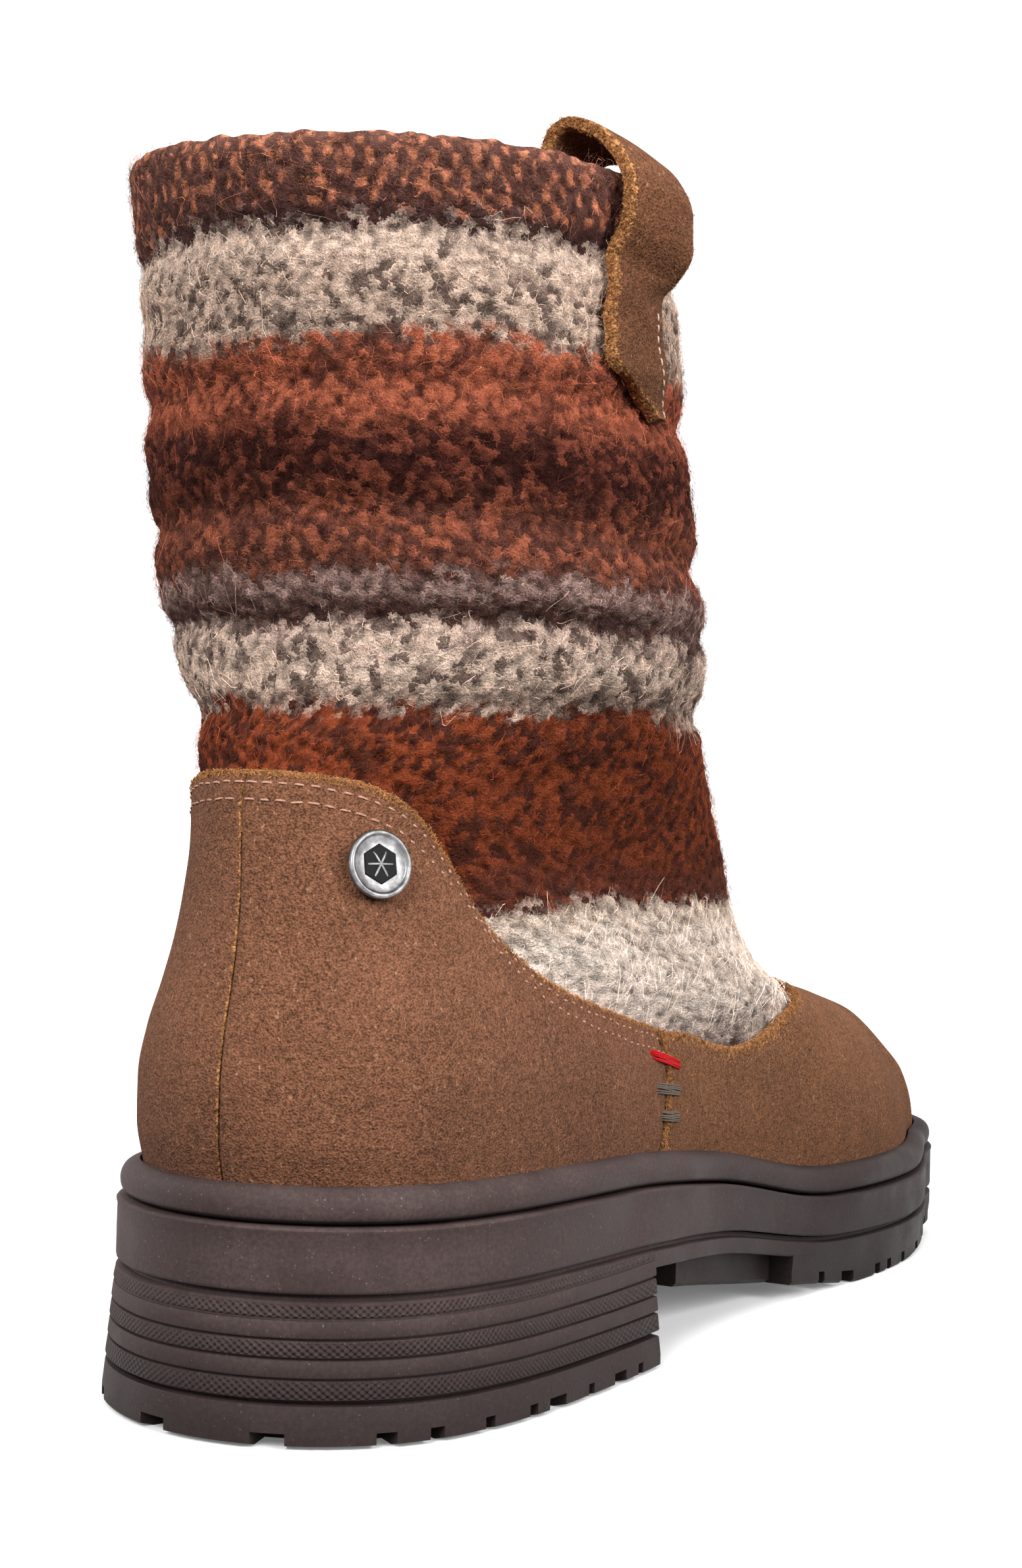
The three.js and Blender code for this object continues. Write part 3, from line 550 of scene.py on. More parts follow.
def fibres(name, slot, roots, normals, uv, values, length, width, height, seed, material, curl,
           steps=4, tints=(0.0, 1.0)):
    """Fine hairs as ribbons. Each runs along the surface from its root in a seeded way, rises off
    it as half a sine, swings from side to side as a whole sine and narrows towards its tip."""
    rng = np.random.default_rng(seed)
    n = len(roots)
    t = np.linspace(0, 1, steps)[None, :, None]
    side = unit(np.cross(normals, rng.normal(size=(n, 3))))
    ahead = unit(np.cross(side, normals))
    long = (length * rng.uniform(0.45, 1.25, n))[:, None, None]
    rise = (height * rng.uniform(0.2, 1.3, n) ** 2)[:, None, None]
    phase = rng.uniform(0, 2 * np.pi, n)[:, None, None]
    swing = (curl * long[:, 0, 0] * rng.uniform(0.2, 0.5, n))[:, None, None]
    path = roots[:, None] + ahead[:, None] * (t - 0.3) * long
    path = path + normals[:, None] * (rise * np.sin(np.pi * (0.15 + 0.85 * t)) - 0.05)
    path = path + side[:, None] * swing * (np.sin(2 * np.pi * t * 1.2 + phase) - np.sin(phase))
    flat = unit(side[:, None] + normals[:, None] * rng.normal(size=(n, 1, 1)) * 0.7)
    half = width / 2 * (1 - 0.6 * t)
    points = np.stack([path - flat * half, path + flat * half], 2)
    each = 2 * steps
    number = np.arange(n * each).reshape(n, steps, 2)
    faces = np.stack([number[:, :-1, 0], number[:, :-1, 1], number[:, 1:, 1], number[:, 1:, 0]], -1)
    values = {"tint": rng.uniform(*tints, n), **values}
    values = {key: np.repeat(value, each) for key, value in values.items()}
    piece = new_piece(name, points.reshape(-1, 3), faces.reshape(-1, 4), slot,
                      np.repeat(uv, each, 0), values)
    piece.data.materials.append(material)
    return piece


def knit_roots(count, seed, low, high):
    """Seeded places on the knit's outer face between two heights, evenly spread by its area, with
    their normals, pattern places and shade."""
    rng = np.random.default_rng(seed)
    u = rng.uniform(0, 1, count * 3)
    start, end = np.maximum(edge_v(lambda v: u, len(u)) + 0.05, v_at_back(low)), v_at_back(high)
    v = mix(start, end, rng.uniform(0, 1, len(u)))
    near = last_at(u, v)
    area = np.linalg.norm(last_at(u + 0.001, v) - near, axis=-1)
    area = area * np.linalg.norm(last_at(u, np.minimum(v + 0.01, TOP_V)) - near, axis=-1)
    area = area * (end - start)
    keep = rng.uniform(0, np.quantile(area, 0.97), len(u)) < area
    u, v = u[keep][:count], v[keep][:count]
    pits = stitch_lumps(u, v)
    points = skin(u, v, knit_out(u, v) + LUMP * pits)
    points[..., 2] += rim_lift(u, v)
    # The hairs carry the same painted shade of the stitch pits and the creases.
    shade = pits - CREASE_SHADE * crease_shade(u, v)
    along = knit_face(u + 0.0015, v) - knit_face(u - 0.0015, v)
    up = knit_face(u, np.minimum(v + 0.015, TOP_V)) - knit_face(u, v - 0.015)
    uv = np.stack([u * SHAFT_ROUND, last_at(u, v)[..., 2]], -1) * MM
    return points, unit(np.cross(along, up)), uv, shade


# The suede


def suede_patch(name, node_name, u_at, columns, rows=84):
    """A suede panel over the form, up each column from the sole to the upper edge.

    Its outer rim is turned in by a small step so the cut edge catches the light."""
    edge = edge_v(u_at, columns)
    share = np.linspace(0, 1, rows)
    share = share + 0.12 * np.sin(np.pi * share) * share
    v = edge[None, :] * share[:, None]
    u = u_at(v)
    drop = np.zeros(v.shape)
    drop[-1], drop[-2] = 0.35, 0.1
    drop[:, 0] = np.maximum(drop[:, 0], 0.3)
    drop[:, -1] = np.maximum(drop[:, -1], 0.3)
    outer = skin(u, v, -drop)
    inner = skin(u, v, np.full(v.shape, -SUEDE_THICK))
    below_top = np.linalg.norm(np.diff(outer, axis=0), axis=-1)[::-1].cumsum(0)[::-1]
    below_top = np.concatenate([below_top, np.zeros((1, columns))])
    step = np.linalg.norm(np.diff(outer, axis=1), axis=-1)
    first = np.concatenate([np.zeros((rows, 1)), step.cumsum(1)], 1)
    last = first[:, -1:] - first
    points, faces = thick_patch(outer, inner)
    values = {
        "below_top": np.r_[below_top.ravel(), below_top.ravel()] * MM,
        "from_first": np.r_[first.ravel(), first.ravel()] * MM,
        "from_last": np.r_[last.ravel(), last.ravel()] * MM,
    }
    piece = new_piece(name, points, faces, "suede", values=values, sharp=50)
    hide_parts(node_name)
    return piece


def build_suede():
    medial, lateral, vamp = panel_columns(110, 201)
    return [
        suede_patch("suede_quarter_medial", "quarter_medial", medial, 110),
        suede_patch("suede_quarter_lateral", "quarter_lateral", lateral, 110),
        suede_patch("suede_vamp", "vamp", vamp, 201),
    ]


def side_seam(v):
    """The quarters' front edge, cut by hand: it wanders up to half a millimetre off the seam."""
    seam = quarter_seam(np.minimum(v, SEAM_TOP_V))
    return seam - 0.0004 - 0.0003 * np.sin(17 * v) - 0.0002 * np.sin(41 * v)


def vamp_edge(v):
    """The toe panel's side edge, which wanders a little as well."""
    return vamp_seam(np.minimum(v, SEAM_TOP_V)) + 0.0002 * np.sin(29 * v)


def panel_columns(quarter, vamp):
    """How the medial quarter, the lateral quarter and the vamp run: each gives the places round
    the form of its columns at a section number."""
    t = np.linspace(0, 1, quarter)
    s = np.linspace(-1, 1, vamp)
    return (lambda v: np.maximum(t * side_seam(v), 0.0005),
            lambda v: 1 - np.maximum(t[::-1] * side_seam(v), 0.0005),
            lambda v: 0.5 + np.sign(s) * (0.5 - mix(0.5, vamp_edge(v), np.abs(s))))


# Thread

FINE = 400  # columns of a panel where thread and fray follow its edge


def threads(centres, along, normals, long, thick, high, turns=6, rings=5):
    """Short closed threads: an oval section carried along each, whose breadth follows
    sqrt(1 - t^4) and which sinks at both ends by t^4."""
    n = len(centres)
    long = np.broadcast_to(long, (n,))[:, None, None, None]
    t = np.sin(np.linspace(-0.43, 0.43, rings) * np.pi)[None, :, None, None]
    turn = (np.arange(turns) / turns * 2 * np.pi)[None, None, :, None]
    centres, along, normals = (part[:, None, None] for part in (centres, along, normals))
    side = np.cross(normals, along)
    section = side * np.cos(turn) * thick / 2 + normals * np.sin(turn) * high / 2
    sunk = normals * high * 0.8
    body = centres + along * t * long / 2 - sunk * t**4 + section * np.sqrt(1 - t**4)
    ends = np.array([-1.0, 1.0])[None, :, None, None]
    poles = centres + along * ends * long / 2 - sunk
    points = np.concatenate([body.reshape(n, -1, 3), poles.reshape(n, -1, 3)], 1)
    each = rings * turns
    base = (np.arange(n) * (each + 2))[:, None, None]
    ring = np.arange(turns)
    faces = [grid_quads(rings, turns, round_columns=True), fan(ring, each, True),
             fan(ring + each - turns, each + 1)]
    return points.reshape(-1, 3), [(part[None] + base).reshape(-1, part.shape[1]) for part in faces]


def spaced(points, pitch):
    """Places every pitch along a line of points, as their index between points."""
    length = np.r_[0, np.linalg.norm(np.diff(points, axis=0), axis=1).cumsum()]
    return np.interp(np.arange(pitch / 2, length[-1], pitch), length, np.arange(len(points)))


def between(rows, place):
    """The values at places between the rows of an array."""
    index = np.arange(len(rows))
    return np.stack([np.interp(place, index, column) for column in rows.T], 1)


def below_edge(u_at, edge, below):
    """Section numbers that lie the given way below an upper edge along each column: a first
    small step down is scaled until its length is right."""
    near = edge - 0.1
    for _ in range(5):
        gone = np.linalg.norm(last_at(u_at(edge), edge) - last_at(u_at(near), near), axis=1)
        near = edge - (edge - near) * below / gone
    return near


def stitch_line(u_at, below, pitch, long, thick, high, seed, stand=0.12):
    """A row of stitches a set way below a panel's upper edge, with small seeded unevenness."""
    rng = np.random.default_rng(seed)
    near = below_edge(u_at, edge_v(u_at, FINE), below)
    u = u_at(near)
    line, normal = skin(u, near, np.full(FINE, stand)), last_normal(u, near)
    place = spaced(line, pitch)
    n = len(place)
    place = place + rng.normal(0, 0.05, n)
    centres, normals = between(line, place), unit(between(normal, place))
    along = unit(between(line, place + 0.5) - between(line, place - 0.5))
    small = smooth((centres[:, 1] - 16) / 14)
    side = np.cross(normals, along)
    tilt = side * rng.normal(0, 0.06, (n, 1))
    centres = centres - normals * 0.1 * small[:, None] + side * rng.normal(0, 0.07, (n, 1))
    long = long * (1 - 0.5 * small) * rng.uniform(0.75, 1.1, n)
    return threads(centres, unit(along + tilt), normals, long, thick, high)


def joined(parts):
    """Several sets of points and faces as one."""
    points, faces, base = [], [], 0
    for these, those in parts:
        points.append(these)
        faces += [part + base for part in those]
        base += len(these)
    return np.concatenate(points), faces


def build_stitches(u_at, pitch, first, second):
    """Two rows of stitches along each quarter's upper edge and two finer ones along the vamp's."""
    medial, lateral, vamp = u_at
    rows = []
    for k, side in enumerate((medial, lateral)):
        rows.append(stitch_line(side, first, pitch, 2.25, 0.44, 0.36, 81 + k))
        rows.append(stitch_line(side, second, pitch, 2.2, 0.42, 0.32, 85 + k))
    rows.append(stitch_line(vamp, 3.9, 1.9, 2.0, 0.34, 0.24, 91, 0.02))
    rows.append(stitch_line(vamp, 5.7, 2.1, 1.5, 0.28, 0.2, 92, 0.0))
    points, faces = joined(rows)
    return new_piece("stitch_rows", points, faces, "suede")


def on_medial_side(y, z):
    """The place u, v on the form's medial side at a given distance from the heel and height."""
    def height_v(u):
        return crossing(lambda v: last_at(u, v)[..., 2] - z, 0.3, 11, u.shape)

    u = crossing(lambda u: last_at(u, height_v(u))[..., 1] - y, 0.02, 0.3, (1,))
    return u, height_v(u)


# y, z, length, breadth, tilt of the bar tacks over the medial side seam
BARS = {"bar_red": (105.1, 55.1, 20.0, 1.9, -0.22), "bar_dark": (105.6, 49.5, 17.0, 2.0, -0.13),
        "bar_grey": (106.0, 44.3, 13.0, 1.9, -0.13)}


def build_bars():
    """The bar tacks: bundles of parallel threads that lie over the seam."""
    rng = np.random.default_rng(7)
    pieces = []
    for name, (y, z, long, wide, tilt) in BARS.items():
        u, v = on_medial_side(y, z)
        centre, normal = skin(u, v, np.array([0.3])), last_normal(u, v)
        up = np.array([[0.0, 0.0, 1.0]])
        up = unit(up - normal * (up * normal).sum(-1, keepdims=True))
        along = unit(np.cross(up, normal))
        count = 6
        offset = (np.arange(count) - (count - 1) / 2) * wide / count
        centres = centre + up * offset[:, None] + along * rng.normal(0, 0.2, (count, 1))
        ways = unit(along + up * (tilt + rng.normal(0, 0.02, (count, 1))))
        longs = long * (1 - 0.3 * np.abs(offset) / wide) * rng.uniform(0.94, 1.05, count)
        normals = np.repeat(normal, count, 0)
        made = threads(centres, ways, normals, longs, wide / count * 1.3, 0.8, 10, 13)
        pieces.append(new_piece(name, *made, "suede"))
    return pieces


def crumbs(name, roots, normals, size, seed, material):
    """Thick curled fibres on suede; size is their length, breadth and height."""
    uv = np.zeros((len(roots), 2))
    return fibres(name, "suede", roots, normals, uv, {}, *size, seed, material, 0.9)


def edge_crumbs(name, u_at, count, reach, seed, material, ends=()):
    """Short thick fibres that fray from a panel's raw upper edge, and from its side edges."""
    rng = np.random.default_rng(seed)
    edge = edge_v(u_at, FINE)
    index = np.arange(FINE)
    place = rng.uniform(0, FINE - 1, count)
    down = np.abs(rng.normal(0, reach, count))
    u = np.interp(place, index, u_at(edge))
    deep = edge - below_edge(u_at, edge, 1.0)
    v = np.interp(place, index, edge) - down * np.interp(place, index, deep)
    points, normals = [skin(u, v, np.full(count, 0.02) - 0.3 * (down < 0.5))], [last_normal(u, v)]
    for column, sign in ends:
        more = count // 5
        place_v = rng.uniform(0.2, edge[column], more)
        u_line = np.array([u_at(np.full(FINE, w))[column] for w in place_v])
        u_line = u_line + sign * np.abs(rng.normal(0, reach, more)) / 560
        points.append(skin(u_line, place_v, np.zeros(more)))
        normals.append(last_normal(u_line, place_v))
    points, normals = np.concatenate(points), np.concatenate(normals)
    return crumbs(name, points, normals, (0.9, 0.17, 0.35), seed + 1, material)


# The sole


def build_band():
    """The smooth band that runs round over the tread, with a groove under its upper lip."""
    u = np.arange(360) / 360
    y = outline_at(u)[:, 1]
    rows = [(1.4, 0, 0), (0.35, 0, 0), (0.08, 0, 0.25), (0, 0, 0.7), (0, 0.5, 0), (0.05, 1, -1.2),
            (-0.1, 1, -0.9), (-0.15, 1, -0.45), (0.1, 1, -0.12), (0.6, 1, 0), (2.2, 1, 0)]
    rings = [sole_ring(u, inset, mix(band_bottom(y), band_top(y), up) + add)
             for inset, up, add in rows]
    points, faces = stack(np.stack(rings))
    piece = new_piece("sole_band", points, faces, "sole_rubber", sharp=40)
    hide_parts("midsole")
    return piece


def build_rand():
    """The rounded rand: a half oval carried round the sole between the suede and the outline."""
    count = 360
    u = np.arange(count) / count
    tube = curve([0.5, 0.9, 1.3, 2.0, 3.0, 4.0, 4.9, 5.6, 6.1],
                 [0.6, 0.76, 0.83, 0.885, 0.905, 0.86, 0.75, 0.58, 0.34])
    rise = np.r_[np.linspace(0.5, 1.3, 5), np.linspace(1.7, 6.1, 14)]
    across = np.r_[0, tube(rise), 0.12, 0]
    up = np.r_[0.5, rise, 6.32, 6.35]
    rings = []
    for a, b in zip(across, up):
        v = v_at_rise(lambda w: u, np.full(count, b))
        inner, outer = skin(u, v, np.full(count, 0.5)), outline_at(u)
        y = mix(inner[:, 1], outer[:, 1], a)
        rings.append(np.stack([mix(inner[:, 0], outer[:, 0], a), y, band_top(y) + b], -1))
    faces = grid_quads(len(rings), count, True, True)
    piece = new_piece("sole_rand", np.stack(rings).reshape(-1, 3), faces, "sole_rubber", sharp=50)
    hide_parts("welt_bead")
    return piece


def u_at_y(y):
    return np.arccos(1 - 2 * y / SOLE_LENGTH) / np.pi / 2


def tread_columns(base, notches, extra=()):
    """Places round the sole with a double column at each notch's edges, mirrored on both sides,
    and each column's notch depth and whether a groove crosses there."""
    spans = []
    for y, wide, deep, cross in notches:
        low, high = u_at_y(y - wide / 2), u_at_y(y + wide / 2)
        spans += [(low, high, deep, cross), (1 - high, 1 - low, deep, cross)]
    for x, wide in extra:
        place = crossing(lambda u: outline_at(u)[..., 0] - x, -0.12, 0.12, (1,))[0]
        half = 0.0016 * wide
        spans.append((np.mod(place - half, 1), np.mod(place + half, 1), 6, 0))
    tiny = 2e-6
    ends = np.array([[a, b] for a, b, _, _ in spans]).ravel()
    u = np.concatenate([base, ends - tiny, ends + tiny])
    u = np.unique(np.round(np.mod(np.concatenate([u, 1 - u]), 1), 9))
    deep, cross = np.zeros(len(u)), np.zeros(len(u), bool)
    for a, b, depth, crossed in spans:
        inside = (u > a) & (u < b)
        deep[inside] = depth
        cross[inside] = bool(crossed)
    return u, deep, cross


def tread_block(u, deep, cross, rows, floor, half, keep_low):
    """Rings of a tread block that ends in a flat face: the walls' rows come down to the notches,
    which turn in under the wall, and the floor's rows run on inwards with the crossing grooves."""
    notched = deep > 0
    y = outline_at(u)[:, 1]
    reach = np.where(notched, deep, 6.0)
    low = floor(y)
    lid = low + NOTCH_TALL
    across = sole_ring(u, 6.0, low)
    middle = midline_x(across[:, 1])
    side = np.sign(across[:, 0] - middle)
    inner_x = middle + side * np.minimum(np.abs(across[:, 0] - middle), half)
    inner = np.stack([inner_x, across[:, 1], low], -1)
    raised = np.where(cross, lid, low)
    rings = [
        np.stack([inner_x, across[:, 1], raised], -1),
        inner,
        sole_ring(u, reach, low),
        sole_ring(u, np.where(notched, reach, 0.9), np.where(notched, lid, low)),
        sole_ring(u, np.where(notched, reach, rows[0][0]), np.where(notched, lid, low + 0.7)),
    ]
    grain = [0.0] * 5
    for inset, z, rough in rows:
        rings.append(sole_ring(u, inset, np.maximum(z(y), lid) if rough < 0 else z(y)))
        grain.append(max(rough, 0.0))
    rings = np.stack(rings)
    order = np.argsort(np.where(keep_low, np.mod(u + 0.5, 1), u), kind="stable")
    return rings[:, order], np.array(grain)


def closed_by_face(rings, cut, count=24):
    """Adds a flat face at y = cut between each ring's two ends, as more columns of the ring."""
    rings = rings.copy()
    rings[:, [0, -1], 1] = cut
    t = np.linspace(0, 1, count + 2)[1:-1]
    face = mix(rings[:, -1:], rings[:, :1], t[None, :, None])
    face[..., 1] = cut
    whole = np.concatenate([rings, face], 1)
    return np.roll(whole, -(rings.shape[1] // 2), axis=1)


def heel_rows():
    """Inset, height and roughness of each row of the heel's wall: its grooves and the layers
    between them, every second of which is pebbled."""
    def slope(back, breast):
        return lambda at: mix(back, breast, np.clip(at / HEEL_BREAST, 0, 1))

    def flare(z):
        return -HEEL_FLARE * np.clip(1 - z / HEEL_BOTTOM, 0, 1)

    rows = [(flare(2.5), slope(2.6, 2.6), -1)]
    for k, (low, high, front_low, front_high, deep) in enumerate(HEEL_GROOVES):
        inset = flare((low + high) / 2)
        wall = (high - low) / 5
        bottom, ceiling = slope(low, front_low), slope(high, front_high)
        rows += [
            (inset, lambda at, f=bottom: f(at) - 0.3, k % 2),
            (inset + 0.15, bottom, 0),
            (inset + deep, lambda at, f=bottom, w=wall: f(at) + w, 0),
            (inset + deep, lambda at, f=ceiling, w=wall: f(at) - w, 0),
            (inset + 0.15, ceiling, 0),
            (inset, lambda at, f=ceiling: f(at) + 0.3, (k + 1) % 2),
        ]
    return rows + [(0.0, lambda at: band_bottom(at) - 1.65, 1),
                   (0.3, lambda at: band_bottom(at) - 1.4, 0),
                   (1.7, lambda at: band_bottom(at) - 1.2, 0)]


def plate_rings():
    """The plate that runs the whole sole's length under the band."""
    u = np.arange(360) / 360
    top = band_bottom(outline_at(u)[:, 1]) - 0.3
    rows = [(0.8, -4.3), (0.25, -4.15), (0, -3.8), (0, -1.15), (0.2, -1.0), (1.7, -0.85), (2.0, 0)]
    return np.stack([sole_ring(u, inset, top + up) for inset, up in rows]), np.zeros(len(rows))


def heel_rings():
    """The heel's block from its back to the flat breast."""
    end = u_at_y(HEEL_BREAST)
    base = np.r_[np.linspace(0, end, 90), 1 - np.linspace(0, end, 90)[1:]]
    columns = tread_columns(base, HEEL_NOTCHES, BACK_NOTCHES)
    keep = (columns[0] <= end + 1e-9) | (columns[0] >= 1 - end - 1e-9)
    columns = [column[keep] for column in columns]
    rings, grain = tread_block(*columns, heel_rows(), lambda at: 0 * at, 24.0, True)
    rings[..., 1] = np.minimum(rings[..., 1], HEEL_BREAST)
    return closed_by_face(rings, HEEL_BREAST), grain


def ball_rings():
    """The forefoot's tread from its flat rear face to the toe."""
    rows = [(0.3, lambda at: floor_z(at) + 2.6, -1), (0.05, lambda at: band_bottom(at) - 4.5, 0),
            (0.05, lambda at: band_bottom(at) - 1.5, 0)]
    start = u_at_y(TREAD_START)
    columns = tread_columns(np.linspace(start, 1 - start, 200), BALL_NOTCHES)
    keep = (columns[0] >= start - 1e-9) & (columns[0] <= 1 - start + 1e-9)
    columns = [column[keep] for column in columns]
    rings, grain = tread_block(*columns, rows, floor_z, 25.0, False)
    rings[..., 1] = np.maximum(rings[..., 1], TREAD_START)
    return closed_by_face(rings, TREAD_START), grain


def rear_rings():
    """The lower body behind the forefoot's tread, which rises to the plate."""
    side = np.linspace(u_at_y(118), u_at_y(168), 24)
    u = np.r_[side, 1 - side[::-1]]
    y = outline_at(u)[:, 1]
    rows = [(6.3, floor_z(y)), (5.5, floor_z(y) + 0.8), (5.5, band_bottom(y) - 1.5)]
    return np.stack([sole_ring(u, inset, z) for inset, z in rows]), np.zeros(len(rows))


def build_tread():
    """The plate, the heel, the forefoot's tread and the body behind it as one piece."""
    blocks = [plate_rings(), heel_rings(), ball_rings(), rear_rings()]
    points, faces = joined([stack(rings) for rings, _ in blocks])
    grain = np.concatenate([np.repeat(rough, rings.shape[1]) for rings, rough in blocks])
    piece = new_piece("sole_tread", points, faces, "sole_rubber", values={"grain": grain}, sharp=35)
    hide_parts("outsole")
    return piece


# The pull loop


def shaft_x(y, z):
    """The knit's outer face at a height on the medial side."""
    v = v_at_back(z)
    back, front = section_at[0](v), section_at[2](v)
    share = np.clip((y - back) / (front - back), 0, 1)
    u = np.arccos(1 - 2 * share) / np.pi / 2
    return knit_face(u, v)[..., 0]


def build_loop():
    """A strap carried along the loop's path, its ends tapered and its section slightly rounded."""
    heights, outs = columns_of(LOOP_PATH)
    place = np.arange(len(heights))
    z_at, out_at = curve(place, heights), curve(place, outs)

    def middle(t, side):
        z = z_at(t)
        free = smooth((z - 190) / 8)
        low = smooth((180 - z) / 10.5) * (t < 4)
        lean = 3.5 * smooth((190 - z) / 20) * (t < 8)
        y = mix(mix(46, 61, low), 60 + lean, side)
        over = smooth((10 - t) / 3)
        x = shaft_x(y, np.minimum(z, 205)) + out_at(t) + over * free * 4 * side
        return np.stack([x, y, z - free * 3.4 * side], -1)

    rows, columns = 150, 25
    t = np.linspace(0, len(heights) - 1, rows)[:, None] + np.zeros((1, columns))
    side = np.linspace(0, 1, columns)[None, :] + np.zeros((rows, 1))
    at = middle(t, side)
    ahead = middle(np.minimum(t + 0.05, len(heights) - 1), side)
    along = unit(ahead - middle(np.maximum(t - 0.05, 0), side))
    out = unit(np.cross(np.array([0.0, 1.0, 0.0]), along))
    edge = np.minimum(side, 1 - side) * (columns - 1)
    drop = 0.35 * np.clip(1 - edge, 0, 1)
    outer, inner = at - out * drop[..., None], at - out * (2.4 - drop)[..., None]
    width = np.linalg.norm(at[:, -1] - at[:, 0], axis=-1)[:, None]
    near = (np.minimum(side, 1 - side) * width).ravel()
    points, faces = thick_patch(outer, inner)
    values = {"below_top": np.r_[near, near] * MM}
    piece = new_piece("suede_loop", points, faces, "suede", values=values, sharp=50)
    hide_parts("pull_loop")
    edges = [(outer[:, 0], inner[:, 0], -1.0), (outer[:, -1], inner[:, -1], 1.0)]
    column = columns - 5
    sewn = (at[:, column, 2] < 189) & (t[:, 0] < 5)
    return piece, edges, (at[sewn, column], along[sewn, column], out[sewn, column])


def loop_thread(line, along, out):
    """The seam that holds the loop's sewn end: stitches along a line of the strap's face."""
    place = spaced(line, 1.9)
    normal = unit(between(out, place))
    centres = between(line, place) + normal * 0.12
    made = threads(centres, unit(between(along, place)), normal, 1.5, 0.36, 0.3)
    return new_piece("loop_stitches", *made, "suede")


def loop_fray(edges, count, material):
    """Loose fibres all over the strap's two cut faces."""
    rng = np.random.default_rng(111)
    roots, normals = [], []
    for outer, inner, way in edges:
        place = rng.uniform(0, len(outer) - 1, count)
        deep = rng.uniform(0, 1, count)[:, None]
        roots.append(mix(between(outer, place), between(inner, place), deep))
        normals.append(np.array([0.0, way, 0.0]) + rng.normal(0, 0.3, (count, 3)))
    roots, normals = np.concatenate(roots), unit(np.concatenate(normals))
    return crumbs("fray_loop", roots, normals, (0.7, 0.16, 0.4), 112, material)


# The button


def build_button():
    """A turned disc on the medial quarter, an enamel hexagon in it and three bars across that."""
    u, v = on_medial_side(20.3, 92.5)
    axis = last_normal(u, v)[0]
    centre = skin(u, v, np.array([0.45]))[0]
    right = unit(np.cross(np.array([0.0, 0.0, 1.0]), axis))
    up = np.cross(axis, right)

    def turned(name, profile, low, high, corners, first, sharp):
        """A profile of radii and heights carried round the axis, closed at two heights."""
        turn = np.arange(corners) / corners * 2 * np.pi + first
        spoke = np.cos(turn)[:, None] * right + np.sin(turn)[:, None] * up
        rings = np.stack([centre + h * axis + r * spoke for r, h in profile])
        ends = [(centre + h * axis)[None] for h in (low, high)]
        last, ring = len(profile) * corners, np.arange(corners)
        faces = [grid_quads(len(profile), corners, round_columns=True), fan(ring, last, True),
                 fan(ring + last - corners, last + 1)]
        points = np.concatenate([rings.reshape(-1, 3), *ends])
        return new_piece(name, points, faces, "button_metal", sharp=sharp)

    disc = turned("button_disc", [
        (2.6, 0), (2.6, 0.7), (5.4, 0.7), (5.62, 0.78), (5.75, 1.0), (5.75, 1.75), (5.66, 1.98),
        (5.5, 2.14), (5.28, 2.22), (5.05, 2.18), (4.9, 2.05), (4.78, 1.8), (4.6, 1.66), (3.0, 1.64),
    ], 0.0, 1.64, 96, 0.0, 40)
    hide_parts("button")
    field = [(3.4, 1.62), (3.42, 1.7), (3.25, 1.82)]
    enamel = turned("button_enamel", field, 1.62, 1.84, 6, np.pi / 6, 30)
    ways = np.array([np.cos(a) * right + np.sin(a) * up for a in np.arange(3) / 3 * np.pi])
    middle, normals = np.repeat((centre + 1.9 * axis)[None], 3, 0), np.repeat(axis[None], 3, 0)
    bars = threads(middle, ways, normals, 5.4, 0.5, 0.4, 8, 9)
    return disc, enamel, new_piece("button_rays", *bars, "button_metal")


# Materials


def node(tree, kind, inputs=None, **settings):
    """A shader node with its settings and inputs; an input that is a socket becomes a link."""
    made = tree.nodes.new("ShaderNode" + kind)
    for key, value in settings.items():
        setattr(made, key, value)
    for key, value in (inputs or {}).items():
        if isinstance(value, bpy.types.NodeSocket):
            tree.links.new(value, made.inputs[key])
        else:
            made.inputs[key].default_value = value
    return made


def maths(tree, operation, a, b=0.0, c=0.0):
    """The result of one operation on up to three values."""
    return node(tree, "Math", {0: a, 1: b, 2: c}, operation=operation).outputs[0]


def step_between(tree, value, low, high, start=0.0, end=1.0):
    """Start below low, end above high, and a smooth step between."""
    inputs = {"Value": value, "From Min": low, "From Max": high, "To Min": start, "To Max": end}
    return node(tree, "MapRange", inputs, interpolation_type="SMOOTHSTEP").outputs[0]


def blended(tree, factor, a, b):
    """Two colours mixed: a at factor 0 and b at 1."""
    return node(tree, "Mix", {0: factor, 6: a, 7: b}, data_type="RGBA").outputs[2]


def noise(tree, vector, per_metre, detail=2.0, roughness=0.5, distortion=0.0):
    inputs = {"Vector": vector, "Scale": per_metre, "Detail": detail, "Roughness": roughness,
              "Distortion": distortion}
    return node(tree, "TexNoise", inputs).outputs["Fac"]


def linear(colour):
    """An sRGB colour of 0 to 255 as linear light with full alpha."""
    c = np.asarray(colour) / 255
    c = np.where(c <= 0.04045, c / 12.92, ((c + 0.055) / 1.055) ** 2.4)
    return (*c.tolist(), 1.0)


def ramp(tree, value, stops):
    """A colour ramp; each stop is its place and an sRGB colour or a grey share."""
    made = node(tree, "ValToRGB", {"Fac": value})
    band = made.color_ramp
    while len(band.elements) < len(stops):
        band.elements.new(0.5)
    for element, (place, colour) in zip(band.elements, stops):
        element.position = place
        grey = not hasattr(colour, "__len__")
        element.color = (colour, colour, colour, 1) if grey else linear(colour)
    return made.outputs[0]


